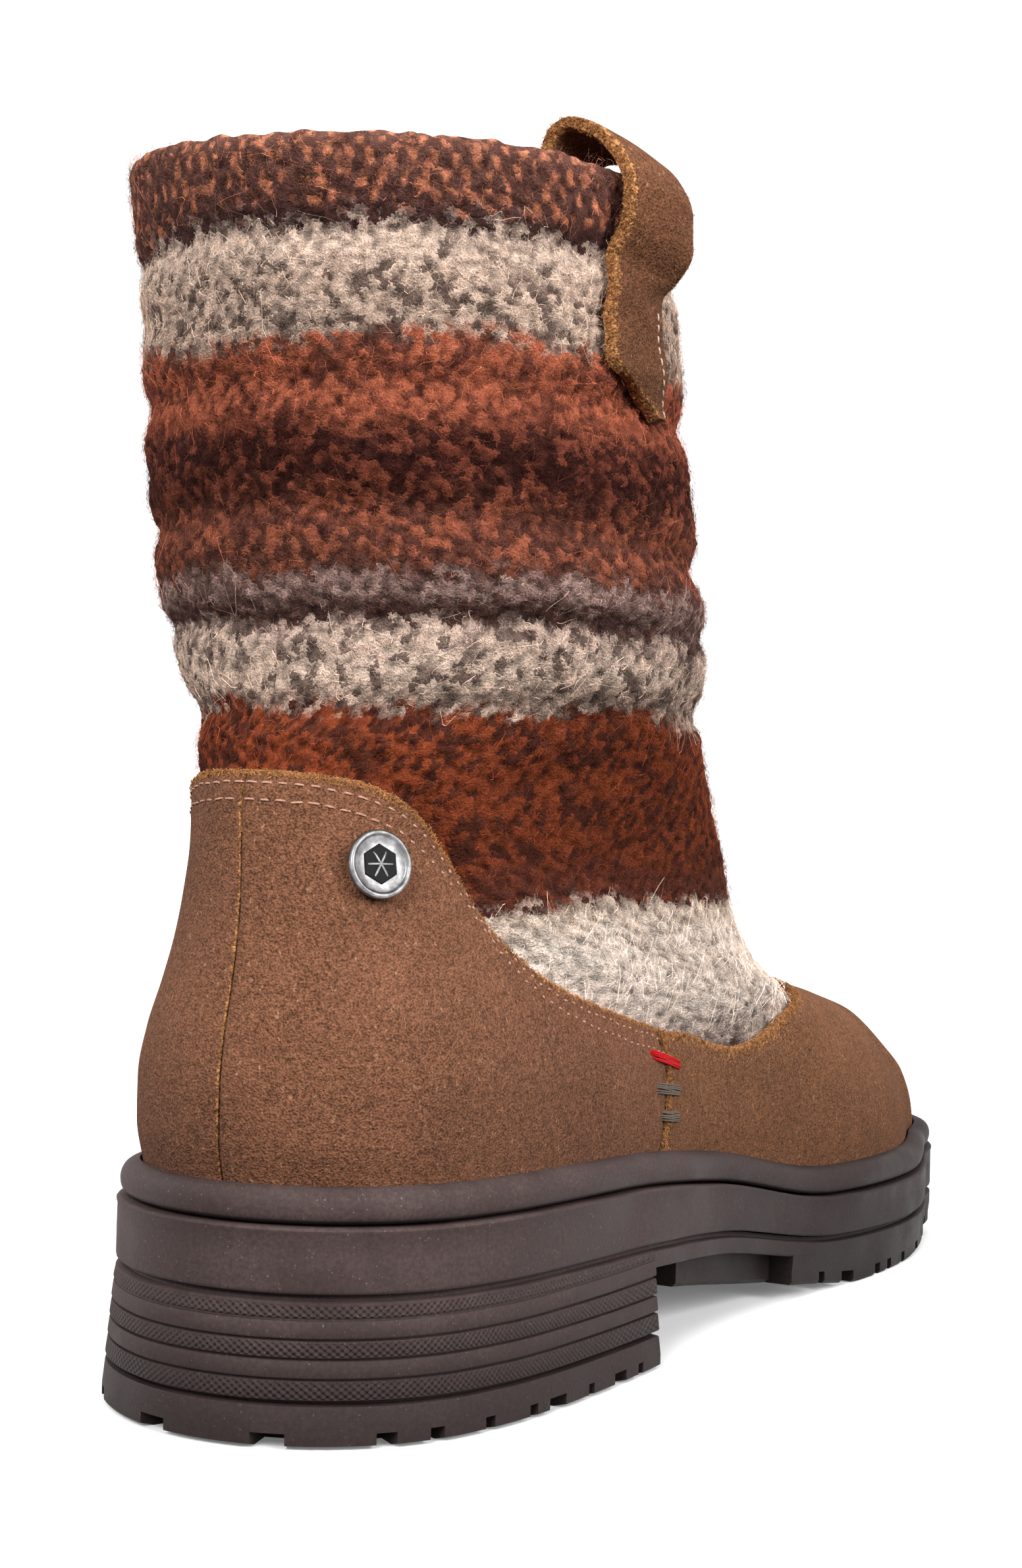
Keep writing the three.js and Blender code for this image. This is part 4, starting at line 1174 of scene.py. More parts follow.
def group(name, inputs, outputs):
    """An empty node group with named sockets; returns its tree and its inner input sockets."""
    tree = bpy.data.node_groups.new(name, "ShaderNodeTree")
    for label, kind in inputs:
        tree.interface.new_socket(label, in_out="INPUT", socket_type="NodeSocket" + kind)
    for label, kind in outputs:
        tree.interface.new_socket(label, in_out="OUTPUT", socket_type="NodeSocket" + kind)
    enter = tree.nodes.new("NodeGroupInput")
    leave = tree.nodes.new("NodeGroupOutput")
    return tree, enter.outputs, leave.inputs


def use(tree, made, inputs):
    """A group placed in a tree with its inputs; returns its outputs."""
    placed_group = node(tree, "Group", node_tree=made)
    for key, value in inputs.items():
        if isinstance(value, bpy.types.NodeSocket):
            tree.links.new(value, placed_group.inputs[key])
        else:
            placed_group.inputs[key].default_value = value
    return placed_group.outputs


STRIPE_LOW, STRIPE_SPAN = 50.0, 170.0


def at_height(stops):
    """A table by height as stops of a ramp."""
    return [((z - STRIPE_LOW) / STRIPE_SPAN, colour) for z, colour in sorted(stops)]


# Height in mm and sRGB colour: the yarn that makes the ground of each stripe, and its flecks.
# The dark band from 133.4 to 136 mm lies in the fold there and is partly painted shade.
GROUND = [
    (54, (96, 82, 76)), (58, (186, 168, 156)), (64, (216, 200, 188)), (78, (234, 218, 204)),
    (84.2, (220, 198, 180)), (85.4, (82, 46, 38)), (89.5, (90, 48, 38)), (93, (124, 60, 36)),
    (108, (134, 64, 38)), (117.8, (136, 66, 40)), (119.6, (210, 182, 164)), (126, (226, 199, 180)),
    # Painted shade in part: this dark band matches the fold at 133 to 136 mm.
    (132.6, (208, 180, 164)), (133.4, (84, 58, 52)), (136, (96, 66, 60)), (137, (168, 138, 128)),
    (140.2, (172, 140, 130)), (141.8, (88, 53, 44)), (150, (104, 61, 50)), (157, (56, 28, 23)),
    (162, (58, 29, 24)), (164.6, (78, 43, 36)), (166.4, (160, 88, 64)), (178.4, (180, 100, 72)),
    (180.4, (200, 174, 156)), (188, (212, 184, 165)), (196.2, (224, 198, 180)),
    (197.4, (76, 52, 50)), (201, (92, 60, 53)), (214, (116, 79, 69)),
]
FLECK = [
    (56, (78, 60, 54)), (66, (190, 174, 164)), (84, (164, 142, 128)), (85.5, (134, 68, 46)),
    (93, (60, 32, 26)), (118, (66, 38, 32)), (119.5, (88, 68, 61)), (133, (82, 63, 58)),
    (136.5, (100, 74, 68)), (141, (92, 60, 52)), (143, (160, 92, 68)), (152, (158, 88, 64)),
    (158, (120, 62, 46)), (165, (136, 72, 54)), (167, (92, 50, 40)), (176, (100, 56, 46)),
    (180, (78, 60, 55)), (196.5, (92, 72, 64)), (198, (190, 162, 150)), (200, (222, 136, 98)),
    (214, (238, 154, 116)),
]
# Height in mm and the share of stitches that are flecks
FLECKED = [
    (54, 0.55), (60, 0.25), (68, 0.1), (84, 0.12), (86, 0.3), (92, 0.42), (104, 0.34), (117, 0.4),
    (120, 0.42), (127, 0.24), (132, 0.3), (137, 0.4), (141, 0.34), (144, 0.4), (152, 0.5),
    (158, 0.28), (165, 0.34), (168, 0.26), (173, 0.34), (179, 0.4), (181, 0.38), (188, 0.28),
    (192, 0.16), (196, 0.1), (198, 0.18), (202, 0.02), (214, 0.02),
]


def striped_yarn():
    """Group: the stripes by height, jagged at stitch size, with flecks of single stitches and
    staggered rows of rust stitches round the collar. The colour is darkened as painted shade in the
    stitch pits and creases, and lightened on the stitch tops as painted light."""
    tree, given, out = group("striped yarn",
                             [("Weave", "Vector"), ("Tint", "Float"), ("PaintedShading", "Float")],
                             [("Colour", "Color"), ("Relief", "Float")])
    weave = scaled(tree, given["Weave"], 1000.0)
    parts = node(tree, "SeparateXYZ", {0: weave}).outputs
    hair = node(tree, "TexNoise", {"Vector": weave, "Scale": 1.6, "Detail": 3.0}).outputs["Color"]
    drift = node(tree, "VectorMath", {0: hair, 1: (0.5, 0.5, 0.5)}, operation="SUBTRACT").outputs[0]
    drift = scaled(tree, drift, 2.6)
    fuzzy = node(tree, "VectorMath", {0: weave, 1: drift}, operation="ADD").outputs[0]
    cells = node(tree, "Mapping", {"Vector": fuzzy, "Scale": (0.6, 0.68, 1.0)}).outputs[0]
    stitch = node(tree, "TexVoronoi", {"Vector": cells, "Scale": 1.0, "Randomness": 0.85},
                  voronoi_dimensions="2D")
    dice = node(tree, "SeparateXYZ", {0: stitch.outputs["Color"]}).outputs
    cloud = noise(tree, weave, 0.11, 2.0)
    wander = noise(tree, weave, 0.035, 1.0)
    height = node(tree, "SeparateXYZ", {0: fuzzy}).outputs[1]
    jag = maths(tree, "MULTIPLY_ADD", dice[0], 3.4, -1.7)
    jag = maths(tree, "ADD", jag, maths(tree, "MULTIPLY_ADD", wander, 7.0, -3.5))
    ragged = maths(tree, "ADD", height, jag)
    share = maths(tree, "DIVIDE", maths(tree, "SUBTRACT", ragged, STRIPE_LOW), STRIPE_SPAN)
    level = maths(tree, "DIVIDE", maths(tree, "SUBTRACT", parts[1], STRIPE_LOW), STRIPE_SPAN)
    ground = ramp(tree, share, at_height(GROUND))
    fleck = ramp(tree, share, at_height(FLECK))
    amount = ramp(tree, level, at_height(FLECKED))
    amount = maths(tree, "MULTIPLY", amount, step_between(tree, cloud, 0.3, 0.7, 0.5, 1.5))
    picked = step_between(tree, maths(tree, "SUBTRACT", amount, dice[1]), -0.2, 0.16)
    turn = maths(tree, "COSINE", maths(tree, "MULTIPLY", parts[0], 2 * math.pi * 88 / SHAFT_ROUND))
    rise = maths(tree, "COSINE", maths(tree, "MULTIPLY", parts[1], 2 * math.pi / 6.8))
    rows = maths(tree, "MULTIPLY", turn, rise)
    rows = maths(tree, "ADD", rows, maths(tree, "MULTIPLY_ADD", dice[2], 1.5, -0.75))
    rows = step_between(tree, rows, 0.2, 1.25, 0.0, 0.9)
    collar = step_between(tree, parts[1], 199.0, 201.5)
    picked = maths(tree, "MAXIMUM", picked, maths(tree, "MULTIPLY", rows, collar))
    colour = blended(tree, maths(tree, "MULTIPLY", picked, 0.85), ground, fleck)
    fine = noise(tree, weave, 3.2, 3.0, 0.7)
    light = maths(tree, "ADD", step_between(tree, fine, 0.25, 0.75, 0.55, 1.35),
                  maths(tree, "MULTIPLY_ADD", given["Tint"], 1.3, -0.4))
    # Painted shade: the third input scales the colour from 0.4 in the pits and creases to 1.5 on the
    # stitch tops.
    light = maths(tree, "MULTIPLY", light, step_between(tree, given["PaintedShading"], -1.2, 0.6, 0.4, 1.5))
    colour = scaled(tree, colour, light)
    tree.links.new(colour, out["Colour"])
    tree.links.new(maths(tree, "SUBTRACT", fine, stitch.outputs["Distance"]), out["Relief"])
    return tree


def cloth_base(name, roughness, sheen=0.0, specular=0.05):
    """A material whose shader has the constants of a napped cloth; returns it with its parts."""
    material = bpy.data.materials.new(name)
    material.use_nodes = True
    tree = material.node_tree
    shader = tree.nodes["Principled BSDF"]
    shader.inputs["Roughness"].default_value = roughness
    shader.inputs["Specular IOR Level"].default_value = specular
    shader.inputs["Sheen Weight"].default_value = sheen
    shader.inputs["Sheen Roughness"].default_value = 0.5
    return material, tree, shader


def wool_material(name, yarn, hairs):
    """The striped yarn on the knit, with its relief, or on single hairs without it."""
    material, tree, shader = cloth_base(name, 0.95)
    weave = node(tree, "UVMap", uv_map="weave").outputs[0]
    tint = node(tree, "Attribute", attribute_name="tint").outputs["Fac"]
    # Painted shade of the stitch pits and the creases, stored on the mesh.
    pits = node(tree, "Attribute", attribute_name="pits").outputs["Fac"]
    made = use(tree, yarn, {"Weave": weave, "Tint": tint, "PaintedShading": pits})
    tree.links.new(made["Colour"], shader.inputs["Base Color"])
    if not hairs:
        bump = node(tree, "Bump", {"Height": made["Relief"], "Distance": 0.0007, "Strength": 1.0})
        tree.links.new(bump.outputs[0], shader.inputs["Normal"])
    return material


def suede_nap():
    """Group: short brushed nap with light and dark grains, broad strokes and dusty flecks."""
    tree, given, out = group("suede nap", [("Place", "Vector")],
                             [("Tone", "Float"), ("Flecks", "Float"), ("Relief", "Float")])
    grain = noise(tree, given["Place"], 2600.0, 2.0, 0.6)
    fine = noise(tree, given["Place"], 900.0, 3.0, 0.6)
    cloud = noise(tree, given["Place"], 90.0, 3.0, 0.55)
    broad = noise(tree, given["Place"], 26.0, 2.0, 0.5)
    tone = step_between(tree, grain, 0.32, 0.68, -0.42, 0.42)
    tone = maths(tree, "ADD", tone, step_between(tree, fine, 0.32, 0.68, -0.2, 0.2))
    tone = maths(tree, "ADD", tone, step_between(tree, cloud, 0.3, 0.7, -0.07, 0.07))
    tone = maths(tree, "ADD", tone, step_between(tree, broad, 0.3, 0.7, 0.92, 1.08))
    # Darker towards the bottom: the tone is scaled from 0.8 below 2 cm up to 1.03 above 7.5 cm.
    low = node(tree, "SeparateXYZ", {0: given["Place"]}).outputs[2]
    tone = maths(tree, "MULTIPLY", tone, step_between(tree, low, 0.02, 0.075, 0.8, 1.03))
    tree.links.new(tone, out["Tone"])
    tall = {"Vector": given["Place"], "Scale": (1.0, 1.0, 0.45)}
    stretched = node(tree, "Mapping", tall).outputs[0]
    dust = noise(tree, stretched, 1300.0, 1.0, 0.5)
    tree.links.new(step_between(tree, dust, 0.66, 0.76), out["Flecks"])
    tree.links.new(maths(tree, "MULTIPLY_ADD", fine, 0.8, grain), out["Relief"])
    return tree


def cut_edge():
    """Group: a mask that is 1 at a raw cut edge and crumbles away over its width."""
    tree, given, out = group("cut edge",
                             [("Place", "Vector"), ("Distance", "Float"), ("Width", "Float")],
                             [("Mask", "Float")])
    crumb = noise(tree, given["Place"], 1500.0, 3.0, 0.6)
    wander = noise(tree, given["Place"], 160.0, 2.0)
    reach = maths(tree, "MULTIPLY", given["Width"], maths(tree, "MULTIPLY_ADD", wander, 1.4, 0.3))
    ragged = maths(tree, "MAXIMUM", maths(tree, "MULTIPLY_ADD", crumb, 5.0, -1.5), 0.0)
    reach = maths(tree, "MULTIPLY", reach, ragged)
    ratio = maths(tree, "DIVIDE", given["Distance"], maths(tree, "MAXIMUM", reach, 1e-5))
    tree.links.new(step_between(tree, ratio, 0.7, 1.3, 1.0, 0.0), out["Mask"])
    return tree


def scaled(tree, colour, factor):
    """A colour made lighter or darker by a factor."""
    colour = colour if isinstance(colour, bpy.types.NodeSocket) else tuple(colour)[:3]
    return node(tree, "VectorMath", {0: colour, "Scale": factor}, operation="SCALE").outputs[0]


def suede_material(name, groups, edges, tone, raw):
    """Brown suede. edges names the attributes that measure to a cut edge, with its raw width."""
    material, tree, shader = cloth_base(name, 0.95, 0.03)
    place = node(tree, "TexCoord").outputs["Object"]
    nap = use(tree, groups["nap"], {"Place": place})
    colour = scaled(tree, tone, nap["Tone"])
    light = scaled(tree, linear((188, 144, 110)), nap["Tone"])
    colour = blended(tree, maths(tree, "MULTIPLY", nap["Flecks"], 0.42), colour, light)
    mask = 0.0
    for attribute, width in edges.items():
        distance = node(tree, "Attribute", attribute_name=attribute).outputs["Fac"]
        edge = use(tree, groups["edge"], {"Place": place, "Distance": distance, "Width": width})
        mask = maths(tree, "MAXIMUM", mask, edge["Mask"])
    grains = step_between(tree, noise(tree, place, 1100.0, 3.0, 0.7), 0.36, 0.64, 0.35, 1.45)
    golden = scaled(tree, scaled(tree, raw, nap["Tone"]), grains)
    colour = blended(tree, mask, colour, golden)
    tree.links.new(colour, shader.inputs["Base Color"])
    bump = node(tree, "Bump", {"Height": nap["Relief"], "Distance": 0.0006, "Strength": 1.0})
    tree.links.new(bump.outputs[0], shader.inputs["Normal"])
    return material


def thread_material(name, colour, roughness=0.7):
    """Twisted thread: fine slanted strands lighter and darker by turns."""
    material, tree, shader = cloth_base(name, roughness)
    place = node(tree, "TexCoord").outputs["Object"]
    strands = noise(tree, place, 3200.0, 2.0)
    tone = step_between(tree, strands, 0.3, 0.7, 0.7, 1.25)
    tree.links.new(scaled(tree, colour, tone), shader.inputs["Base Color"])
    bump = node(tree, "Bump", {"Height": strands, "Distance": 0.0002})
    tree.links.new(bump.outputs[0], shader.inputs["Normal"])
    return material


def fray_material(name, colour):
    """Loose suede fibres: each is a little lighter or darker than the next."""
    material, tree, shader = cloth_base(name, 0.9)
    tint = node(tree, "Attribute", attribute_name="tint").outputs["Fac"]
    tone = maths(tree, "MULTIPLY_ADD", tint, 0.9, 0.5)
    tree.links.new(scaled(tree, colour, tone), shader.inputs["Base Color"])
    return material


def rubber_material(dark, light):
    """Moulded rubber: fine grain, scuffed lighter patches, dust specks and pebbled layers, with
    painted shade on faces turned down, near the floor and towards the toe. The pebbles are two waves
    that run slantwise round the heel, added up."""
    material, tree, shader = cloth_base("moulded rubber", 0.6, 0.0, 0.12)
    place = node(tree, "TexCoord").outputs["Object"]
    x, y, z = node(tree, "SeparateXYZ", {0: place}).outputs
    fine = noise(tree, place, 1400.0, 3.0, 0.6)
    patch = noise(tree, place, 55.0, 4.0, 0.6)
    colour = blended(tree, step_between(tree, patch, 0.35, 0.7), (*dark, 1), (*light, 1))
    pores = step_between(tree, fine, 0.3, 0.7, 0.0, 0.45)
    colour = blended(tree, pores, colour, linear((44, 34, 34)))
    dust = step_between(tree, noise(tree, place, 2600.0, 0.0), 0.76, 0.86, 0.0, 0.35)
    colour = blended(tree, dust, colour, linear((165, 152, 146)))
    # Painted shade: faces turned down and places less than 3 cm over the floor are darkened towards
    # near black.
    normal = node(tree, "NewGeometry").outputs["Normal"]
    facing = node(tree, "SeparateXYZ", {0: normal}).outputs[2]
    under = step_between(tree, facing, -0.85, -0.35, 0.85, 0.0)
    low = step_between(tree, z, 0.0, 0.03, 0.6, 0.0)
    colour = blended(tree, maths(tree, "MAXIMUM", under, low), colour, linear((22, 17, 16)))
    # Painted shade: the rubber darkens to half its colour from the heel towards the toe.
    colour = scaled(tree, colour, step_between(tree, y, 0.0, 0.15, 1.0, 0.5))
    tree.links.new(colour, shader.inputs["Base Color"])
    rough = step_between(tree, patch, 0.3, 0.7, 0.5, 0.72)
    tree.links.new(rough, shader.inputs["Roughness"])
    grain = node(tree, "Attribute", attribute_name="grain").outputs["Fac"]
    way = maths(tree, "ARCTAN2", x, maths(tree, "SUBTRACT", 0.0, y))
    way = maths(tree, "MULTIPLY", way, 0.045 * 2 * math.pi / 0.0014)
    rise = maths(tree, "MULTIPLY", z, 2 * math.pi / 0.0011)
    left = maths(tree, "SINE", maths(tree, "ADD", way, rise))
    right = maths(tree, "SINE", maths(tree, "SUBTRACT", way, rise))
    strength = maths(tree, "MULTIPLY", grain, 0.26)
    pebble = maths(tree, "MULTIPLY", maths(tree, "ADD", left, right), strength)
    relief = maths(tree, "MULTIPLY_ADD", fine, 0.12, pebble)
    bump = node(tree, "Bump", {"Height": relief, "Distance": 0.0005, "Strength": 0.9})
    tree.links.new(bump.outputs[0], shader.inputs["Normal"])
    return material


def felt_material(light):
    """Dense felt: short matted fibres lighter and darker, pressed smoother in patches."""
    material, tree, shader = cloth_base("insole felt", 0.95, 0.05)
    place = node(tree, "TexCoord").outputs["Object"]
    fibre = noise(tree, place, 1800.0, 4.0, 0.7, 1.5)
    patch = noise(tree, place, 60.0, 2.0)
    colour = blended(tree, step_between(tree, fibre, 0.3, 0.7), linear((58, 48, 42)), (*light, 1))
    colour = blended(tree, step_between(tree, patch, 0.4, 0.7, 0.0, 0.4), colour, linear((66, 54, 47)))
    tree.links.new(colour, shader.inputs["Base Color"])
    bump = node(tree, "Bump", {"Height": fibre, "Distance": 0.0005})
    tree.links.new(bump.outputs[0], shader.inputs["Normal"])
    return material


def enamel_material(black):
    """Black enamel with the odd speck of dust."""
    material, tree, shader = cloth_base("black enamel", 0.3, 0.0, 0.06)
    dust = noise(tree, node(tree, "TexCoord").outputs["Object"], 5200.0, 1.0)
    specks = step_between(tree, dust, 0.7, 0.8, 0.0, 0.5)
    colour = blended(tree, specks, (*black, 1), linear((92, 90, 88)))
    tree.links.new(colour, shader.inputs["Base Color"])
    return material


def metal_material(bright):
    """Brushed silver: short scratches that vary its gloss and dull grey patches."""
    material, tree, shader = cloth_base("brushed silver", 0.34, 0.0, 0.5)
    shader.inputs["Metallic"].default_value = 1.0
    place = node(tree, "TexCoord").outputs["Object"]
    scratch = node(tree, "Mapping", {"Vector": place, "Scale": (1.0, 1.0, 9.0)}).outputs[0]
    lines = noise(tree, scratch, 2600.0, 3.0)
    dull = noise(tree, place, 700.0, 2.0)
    colour = blended(tree, step_between(tree, dull, 0.3, 0.7), linear((98, 97, 97)), (*bright, 1))
    tree.links.new(colour, shader.inputs["Base Color"])
    tree.links.new(step_between(tree, lines, 0.3, 0.7, 0.3, 0.5), shader.inputs["Roughness"])
    return material


# The stage

CAMERA_AT = (0.2380, -0.3769, 0.1030)
CAMERA_ANGLES = (29.2, -0.23, -1.42)  # turn, pitch and roll in degrees
AIM = (0.0, 0.05, 0.1)  # the point that every light faces
# name, place, size and power of the lights beside the key light
LIGHTS = [
    ("fill", (-1.5, -0.5, 0.8), 1.2, 10), ("side", (1.6, -0.2, 0.9), 1.2, 35),
    ("top", (0.1, 0.2, 1.7), 1.4, 18),
]


def build_floor():
    """A pale round floor whose rim curves up, and which glows more with the distance."""
    n = 96
    turn = np.arange(n) / n * 2 * np.pi
    bend = np.linspace(0, np.pi / 2, 12)
    radius = np.r_[0.6, 1.6, 2.4, 2.4 + 0.8 * np.sin(bend[1:]), 3.2]
    height = np.r_[0, 0, 0, 0.8 - 0.8 * np.cos(bend[1:]), 2.0]
    rings = np.stack([
        np.stack([r * np.cos(turn), r * np.sin(turn), np.full(n, h)], -1)
        for r, h in zip(radius, height)
    ])
    points = np.concatenate([rings.reshape(-1, 3), np.zeros((1, 3))])
    quads = grid_quads(len(rings), n, round_columns=True)[:, ::-1]
    middle = fan(np.arange(n), len(rings) * n)
    mesh = bpy.data.meshes.new("floor")
    mesh.from_pydata(points.tolist(), [], quads.tolist() + middle.tolist())
    mesh.shade_smooth()
    floor = bpy.data.objects.new("floor", mesh)
    bpy.context.scene.collection.objects.link(floor)
    pale, tree, shader = cloth_base("pale floor", 0.9, 0.0, 0.5)
    shader.inputs["Base Color"].default_value = (0.96, 0.96, 0.96, 1)
    shader.inputs["Emission Color"].default_value = (1, 1, 1, 1)
    place = node(tree, "TexCoord").outputs["Object"]
    away = node(tree, "VectorMath", {0: place}, operation="LENGTH").outputs["Value"]
    glow = step_between(tree, away, 0.35, 1.4, 0.15, 1.0)
    tree.links.new(glow, shader.inputs["Emission Strength"])
    mesh.materials.append(pale)
    floor.visible_diffuse = False


def light_stage(key, sky):
    """A sky that is brighter above than below, and four soft lights that face the boot."""
    world = bpy.data.worlds.new("studio")
    world.use_nodes = True
    tree = world.node_tree
    height = node(tree, "SeparateXYZ", {0: node(tree, "TexCoord").outputs["Generated"]}).outputs[2]
    shine = step_between(tree, height, -0.5, 0.5, 0.32 * sky, sky)
    tree.links.new(shine, tree.nodes["Background"].inputs["Strength"])
    bpy.context.scene.world = world
    bpy.context.scene.view_settings.view_transform = "Standard"
    for name, place, size, power in [("key", (0.2, -1.6, 1.2), 0.9, key), *LIGHTS]:
        light = bpy.data.lights.new(name, "AREA")
        light.size = size
        light.energy = power
        lamp = bpy.data.objects.new(name, light)
        bpy.context.scene.collection.objects.link(lamp)
        lamp.location = place
        aim = np.array(AIM) - np.array(place)
        lamp.rotation_euler = (math.acos(-aim[2] / np.linalg.norm(aim)), 0,
                               math.atan2(aim[1], aim[0]) - math.pi / 2)


def place_camera():
    """The camera at the photo's angle: its level and upright ways, turned by its roll."""
    camera = bpy.data.cameras.new("camera")
    camera.lens = 57.93
    camera.sensor_width = 36
    camera.shift_x, camera.shift_y = 0.00504, 0.00714
    camera.clip_start, camera.clip_end = 0.02, 20
    view = bpy.data.objects.new("camera", camera)
    bpy.context.scene.collection.objects.link(view)
    turn, pitch, roll = (math.radians(angle) for angle in CAMERA_ANGLES)
    flat = math.cos(pitch)
    ahead = np.array([-math.sin(turn) * flat, math.cos(turn) * flat, -math.sin(pitch)])
    level = np.array([math.cos(turn), math.sin(turn), 0])
    down = np.cross(ahead, level)
    right = level * math.cos(roll) + down * math.sin(roll)
    up = level * math.sin(roll) - down * math.cos(roll)
    rows = [(right[k], up[k], -ahead[k], CAMERA_AT[k]) for k in range(3)]
    view.matrix_world = Matrix([*rows, (0, 0, 0, 1)])
    bpy.context.scene.camera = view


# Settings


def colour_setting(name, description, srgb):
    """A colour of the panel, given here in sRGB."""
    return bpy.props.FloatVectorProperty(name=name, description=description, default=linear(srgb)[:3],
                                         size=3, min=0, max=1, subtype="COLOR")


def length_setting(name, description, metres):
    """A length of the panel in metres."""
    return bpy.props.FloatProperty(name=name, description=description, default=metres, min=0,
                                   precision=5, unit="LENGTH")


class BOOTIE_PG_wool(bpy.types.PropertyGroup):
    hairs: bpy.props.IntProperty(name="Hairs", description="Hairs on each third of the shaft",
                                 default=24000, min=1)
    length: length_setting("Hair length", "Length of a usual hair", 0.0017)
    width: length_setting("Hair width", "Breadth of a hair at its root", 0.000065)
    height: length_setting("Hair height", "How far a usual hair stands off the knit", 0.00065)


class BOOTIE_PG_suede(bpy.types.PropertyGroup):
    heel: colour_setting("Heel tone", "Suede of the heel panels", (127, 85, 63))
    toe: colour_setting("Toe tone", "Suede of the toe panel", (132, 89, 62))
    strap: colour_setting("Loop tone", "Suede of the pull loop", (114, 74, 51))
    raw: colour_setting("Raw edge", "Tone of the cut edges", (174, 122, 78))
    strap_raw: colour_setting("Loop's raw edge", "Tone of the loop's cut edges", (172, 119, 74))
    raw_width: length_setting("Raw edge width", "Breadth of the toe panel's frayed edge", 0.0021)


class BOOTIE_PG_thread(bpy.types.PropertyGroup):
    pale: colour_setting("Stitches", "Thread of the rows of stitches", (196, 150, 128))
    red: colour_setting("Upper tack", "Thread of the upper bar tack", (206, 12, 18))
    grey: colour_setting("Lower tacks", "Thread of the two lower bar tacks", (106, 95, 84))
    pitch: length_setting("Pitch", "Distance from one stitch to the next", 0.00275)
    first: length_setting("First row", "First row's distance from the edge", 0.0023)
    second: length_setting("Second row", "Second row's distance from the edge", 0.0052)


class BOOTIE_PG_sole(bpy.types.PropertyGroup):
    dark: colour_setting("Dark rubber", "Rubber where it is least worn", (67, 54, 52))
    light: colour_setting("Light rubber", "Rubber where it is scuffed", (84, 70, 68))
    felt: colour_setting("Insole felt", "Light fibres of the insole", (98, 84, 74))


class BOOTIE_PG_button(bpy.types.PropertyGroup):
    metal: colour_setting("Metal", "Brushed face of the button", (140, 139, 139))
    enamel: colour_setting("Enamel", "Filled hexagon on the button", (6, 6, 7))


class BOOTIE_PG_stage(bpy.types.PropertyGroup):
    key: bpy.props.FloatProperty(name="Key light", description="Power of the main light",
                                 default=38.0, min=0, unit="POWER")
    sky: bpy.props.FloatProperty(name="Sky", description="Strength of the light from above",
                                 default=1.4, min=0)


# Operators


class BOOTIE_OT_knit(bpy.types.Operator):
    """Builds the knitted shaft"""

    bl_idname = "bootie.knit"
    bl_label = "Knitted shaft"

    def execute(self, context):
        wool = context.scene.bootie_wool
        piece = build_knit()
        yarn = striped_yarn()
        piece.data.materials.append(wool_material("striped wool", yarn, False))
        hairs = wool_material("wool hairs", yarn, True)
        size = (wool.length / MM, wool.width / MM, wool.height / MM)
        for k, (low, high) in enumerate(HAIR_BANDS):
            *place, pits = knit_roots(wool.hairs, 40 + k, low, high)
            fibres("wool_hairs_%d" % k, "wool_knit", *place, {"pits": pits}, *size, 60 + k, hairs, 1.2)
        # Painted light: the stray hairs get 0.6 more on their shade value, so they show lighter than
        # the pits under them.
        *place, pits = knit_roots(STRAYS, 44, HAIR_BANDS[0][0], HAIR_BANDS[-1][1])
        fibres("wool_strays", "wool_knit", *place, {"pits": pits + 0.6}, 5.0, 0.07, 1.1, 70, hairs,
               1.5, 8, (0.6, 1.3))
        return {"FINISHED"}


class BOOTIE_OT_suede(bpy.types.Operator):
    """Builds the suede panels and the pull loop"""

    bl_idname = "bootie.suede"
    bl_label = "Suede"

    def execute(self, context):
        suede = context.scene.bootie_suede
        groups = {"nap": suede_nap(), "edge": cut_edge()}
        medial, lateral, vamp = build_suede()
        loop, edges, sewn = build_loop()
        top, seam = suede.raw_width, suede.raw_width * 0.9
        for piece, name, cuts, tone, raw in [
            (medial, "medial", {"below_top": 0.0008}, suede.heel, suede.raw),
            (lateral, "lateral", {"below_top": 0.0008, "from_last": 0.0003}, suede.heel, suede.raw),
            (vamp, "vamp", {"below_top": top, "from_first": seam, "from_last": seam}, suede.toe,
             suede.raw),
            (loop, "loop", {"below_top": 0.0006}, suede.strap, suede.strap_raw),
        ]:
            piece.data.materials.append(suede_material(name + " suede", groups, cuts, tone, raw))
        loop_fray(edges, 1500, fray_material("frayed strap", suede.strap_raw))
        pale = thread_material("strap thread", linear((214, 190, 176)))
        loop_thread(*sewn).data.materials.append(pale)
        return {"FINISHED"}


class BOOTIE_OT_thread(bpy.types.Operator):
    """Builds the rows of stitches, the bar tacks and the frayed edges"""

    bl_idname = "bootie.thread"
    bl_label = "Stitches and frayed edges"

    def execute(self, context):
        thread = context.scene.bootie_thread
        panels = panel_columns(FINE, FINE)
        rows = build_stitches(panels, thread.pitch / MM, thread.first / MM, thread.second / MM)
        rows.data.materials.append(thread_material("pale thread", thread.pale))
        for bar, colour in zip(build_bars(), (thread.red, thread.grey, thread.grey)):
            bar.data.materials.append(thread_material(bar.name + " thread", colour, 0.45))
        fray = fray_material("frayed suede", context.scene.bootie_suede.raw)
        edge_crumbs("fray_quarter_medial", panels[0], 2600, 0.45, 101, fray)
        edge_crumbs("fray_quarter_lateral", panels[1], 2600, 0.45, 103, fray)
        edge_crumbs("fray_vamp", panels[2], 4500, 1.1, 105, fray, ((0, 1), (FINE - 1, -1)))
        return {"FINISHED"}


class BOOTIE_OT_sole(bpy.types.Operator):
    """Builds the sole's band, rand and tread"""

    bl_idname = "bootie.sole"
    bl_label = "Sole"

    def execute(self, context):
        sole = context.scene.bootie_sole
        rubber = rubber_material(sole.dark, sole.light)
        for piece in (build_band(), build_rand(), build_tread()):
            piece.data.materials.append(rubber)
        felt = felt_material(sole.felt)
        for slot in bpy.data.objects["insole"].material_slots:
            slot.material = felt
        return {"FINISHED"}


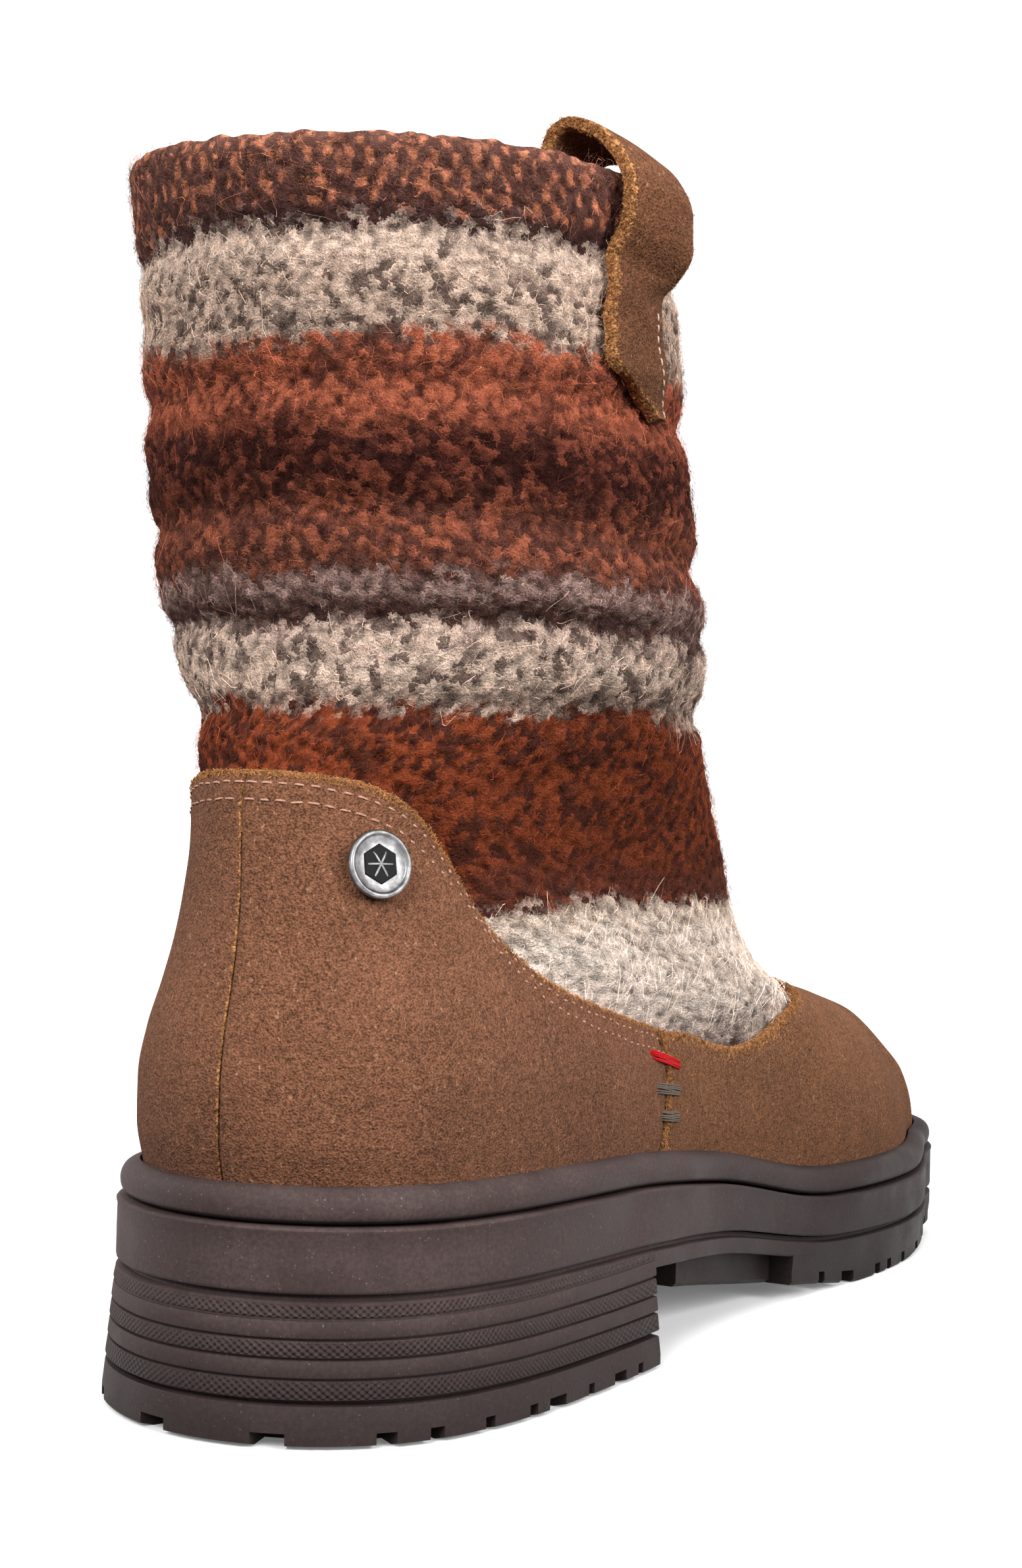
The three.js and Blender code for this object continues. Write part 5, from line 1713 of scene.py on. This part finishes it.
class BOOTIE_OT_button(bpy.types.Operator):
    """Builds the snap button"""

    bl_idname = "bootie.button"
    bl_label = "Button"

    def execute(self, context):
        disc, enamel, rays = build_button()
        button = context.scene.bootie_button
        metal = metal_material(button.metal)
        disc.data.materials.append(metal)
        rays.data.materials.append(metal)
        enamel.data.materials.append(enamel_material(button.enamel))
        return {"FINISHED"}


class BOOTIE_OT_stage(bpy.types.Operator):
    """Builds the floor, the lights and the camera"""

    bl_idname = "bootie.stage"
    bl_label = "Stage"

    def execute(self, context):
        stage = context.scene.bootie_stage
        build_floor()
        light_stage(stage.key, stage.sky)
        place_camera()
        return {"FINISHED"}


class BOOTIE_PT_panel(bpy.types.Panel):
    """Shows each step's settings and its button"""

    bl_idname = "BOOTIE_PT_panel"
    bl_label = "Bootie"
    bl_space_type = "VIEW_3D"
    bl_region_type = "UI"
    bl_category = "Bootie"

    def draw(self, context):
        for step, group_name in zip(STEPS, SETTINGS):
            box = self.layout.box()
            settings = getattr(context.scene, group_name)
            for key in settings.__annotations__:
                box.prop(settings, key)
            box.operator(step.bl_idname)


STEPS = [BOOTIE_OT_knit, BOOTIE_OT_suede, BOOTIE_OT_thread, BOOTIE_OT_sole, BOOTIE_OT_button,
         BOOTIE_OT_stage]
SETTINGS = {"bootie_wool": BOOTIE_PG_wool, "bootie_suede": BOOTIE_PG_suede,
            "bootie_thread": BOOTIE_PG_thread, "bootie_sole": BOOTIE_PG_sole,
            "bootie_button": BOOTIE_PG_button, "bootie_stage": BOOTIE_PG_stage}
CLASSES = [*SETTINGS.values(), *STEPS, BOOTIE_PT_panel]


def register():
    for cls in CLASSES:
        bpy.utils.register_class(cls)
    for key, settings in SETTINGS.items():
        setattr(bpy.types.Scene, key, bpy.props.PointerProperty(type=settings))


def unregister():
    for key in SETTINGS:
        delattr(bpy.types.Scene, key)
    for cls in reversed(CLASSES):
        bpy.utils.unregister_class(cls)


def main():
    """Builds every piece in order."""
    register()
    bpy.ops.bootie.knit()
    bpy.ops.bootie.suede()
    bpy.ops.bootie.thread()
    bpy.ops.bootie.sole()
    bpy.ops.bootie.button()
    bpy.ops.bootie.stage()


if __name__ == "__main__":
    main()
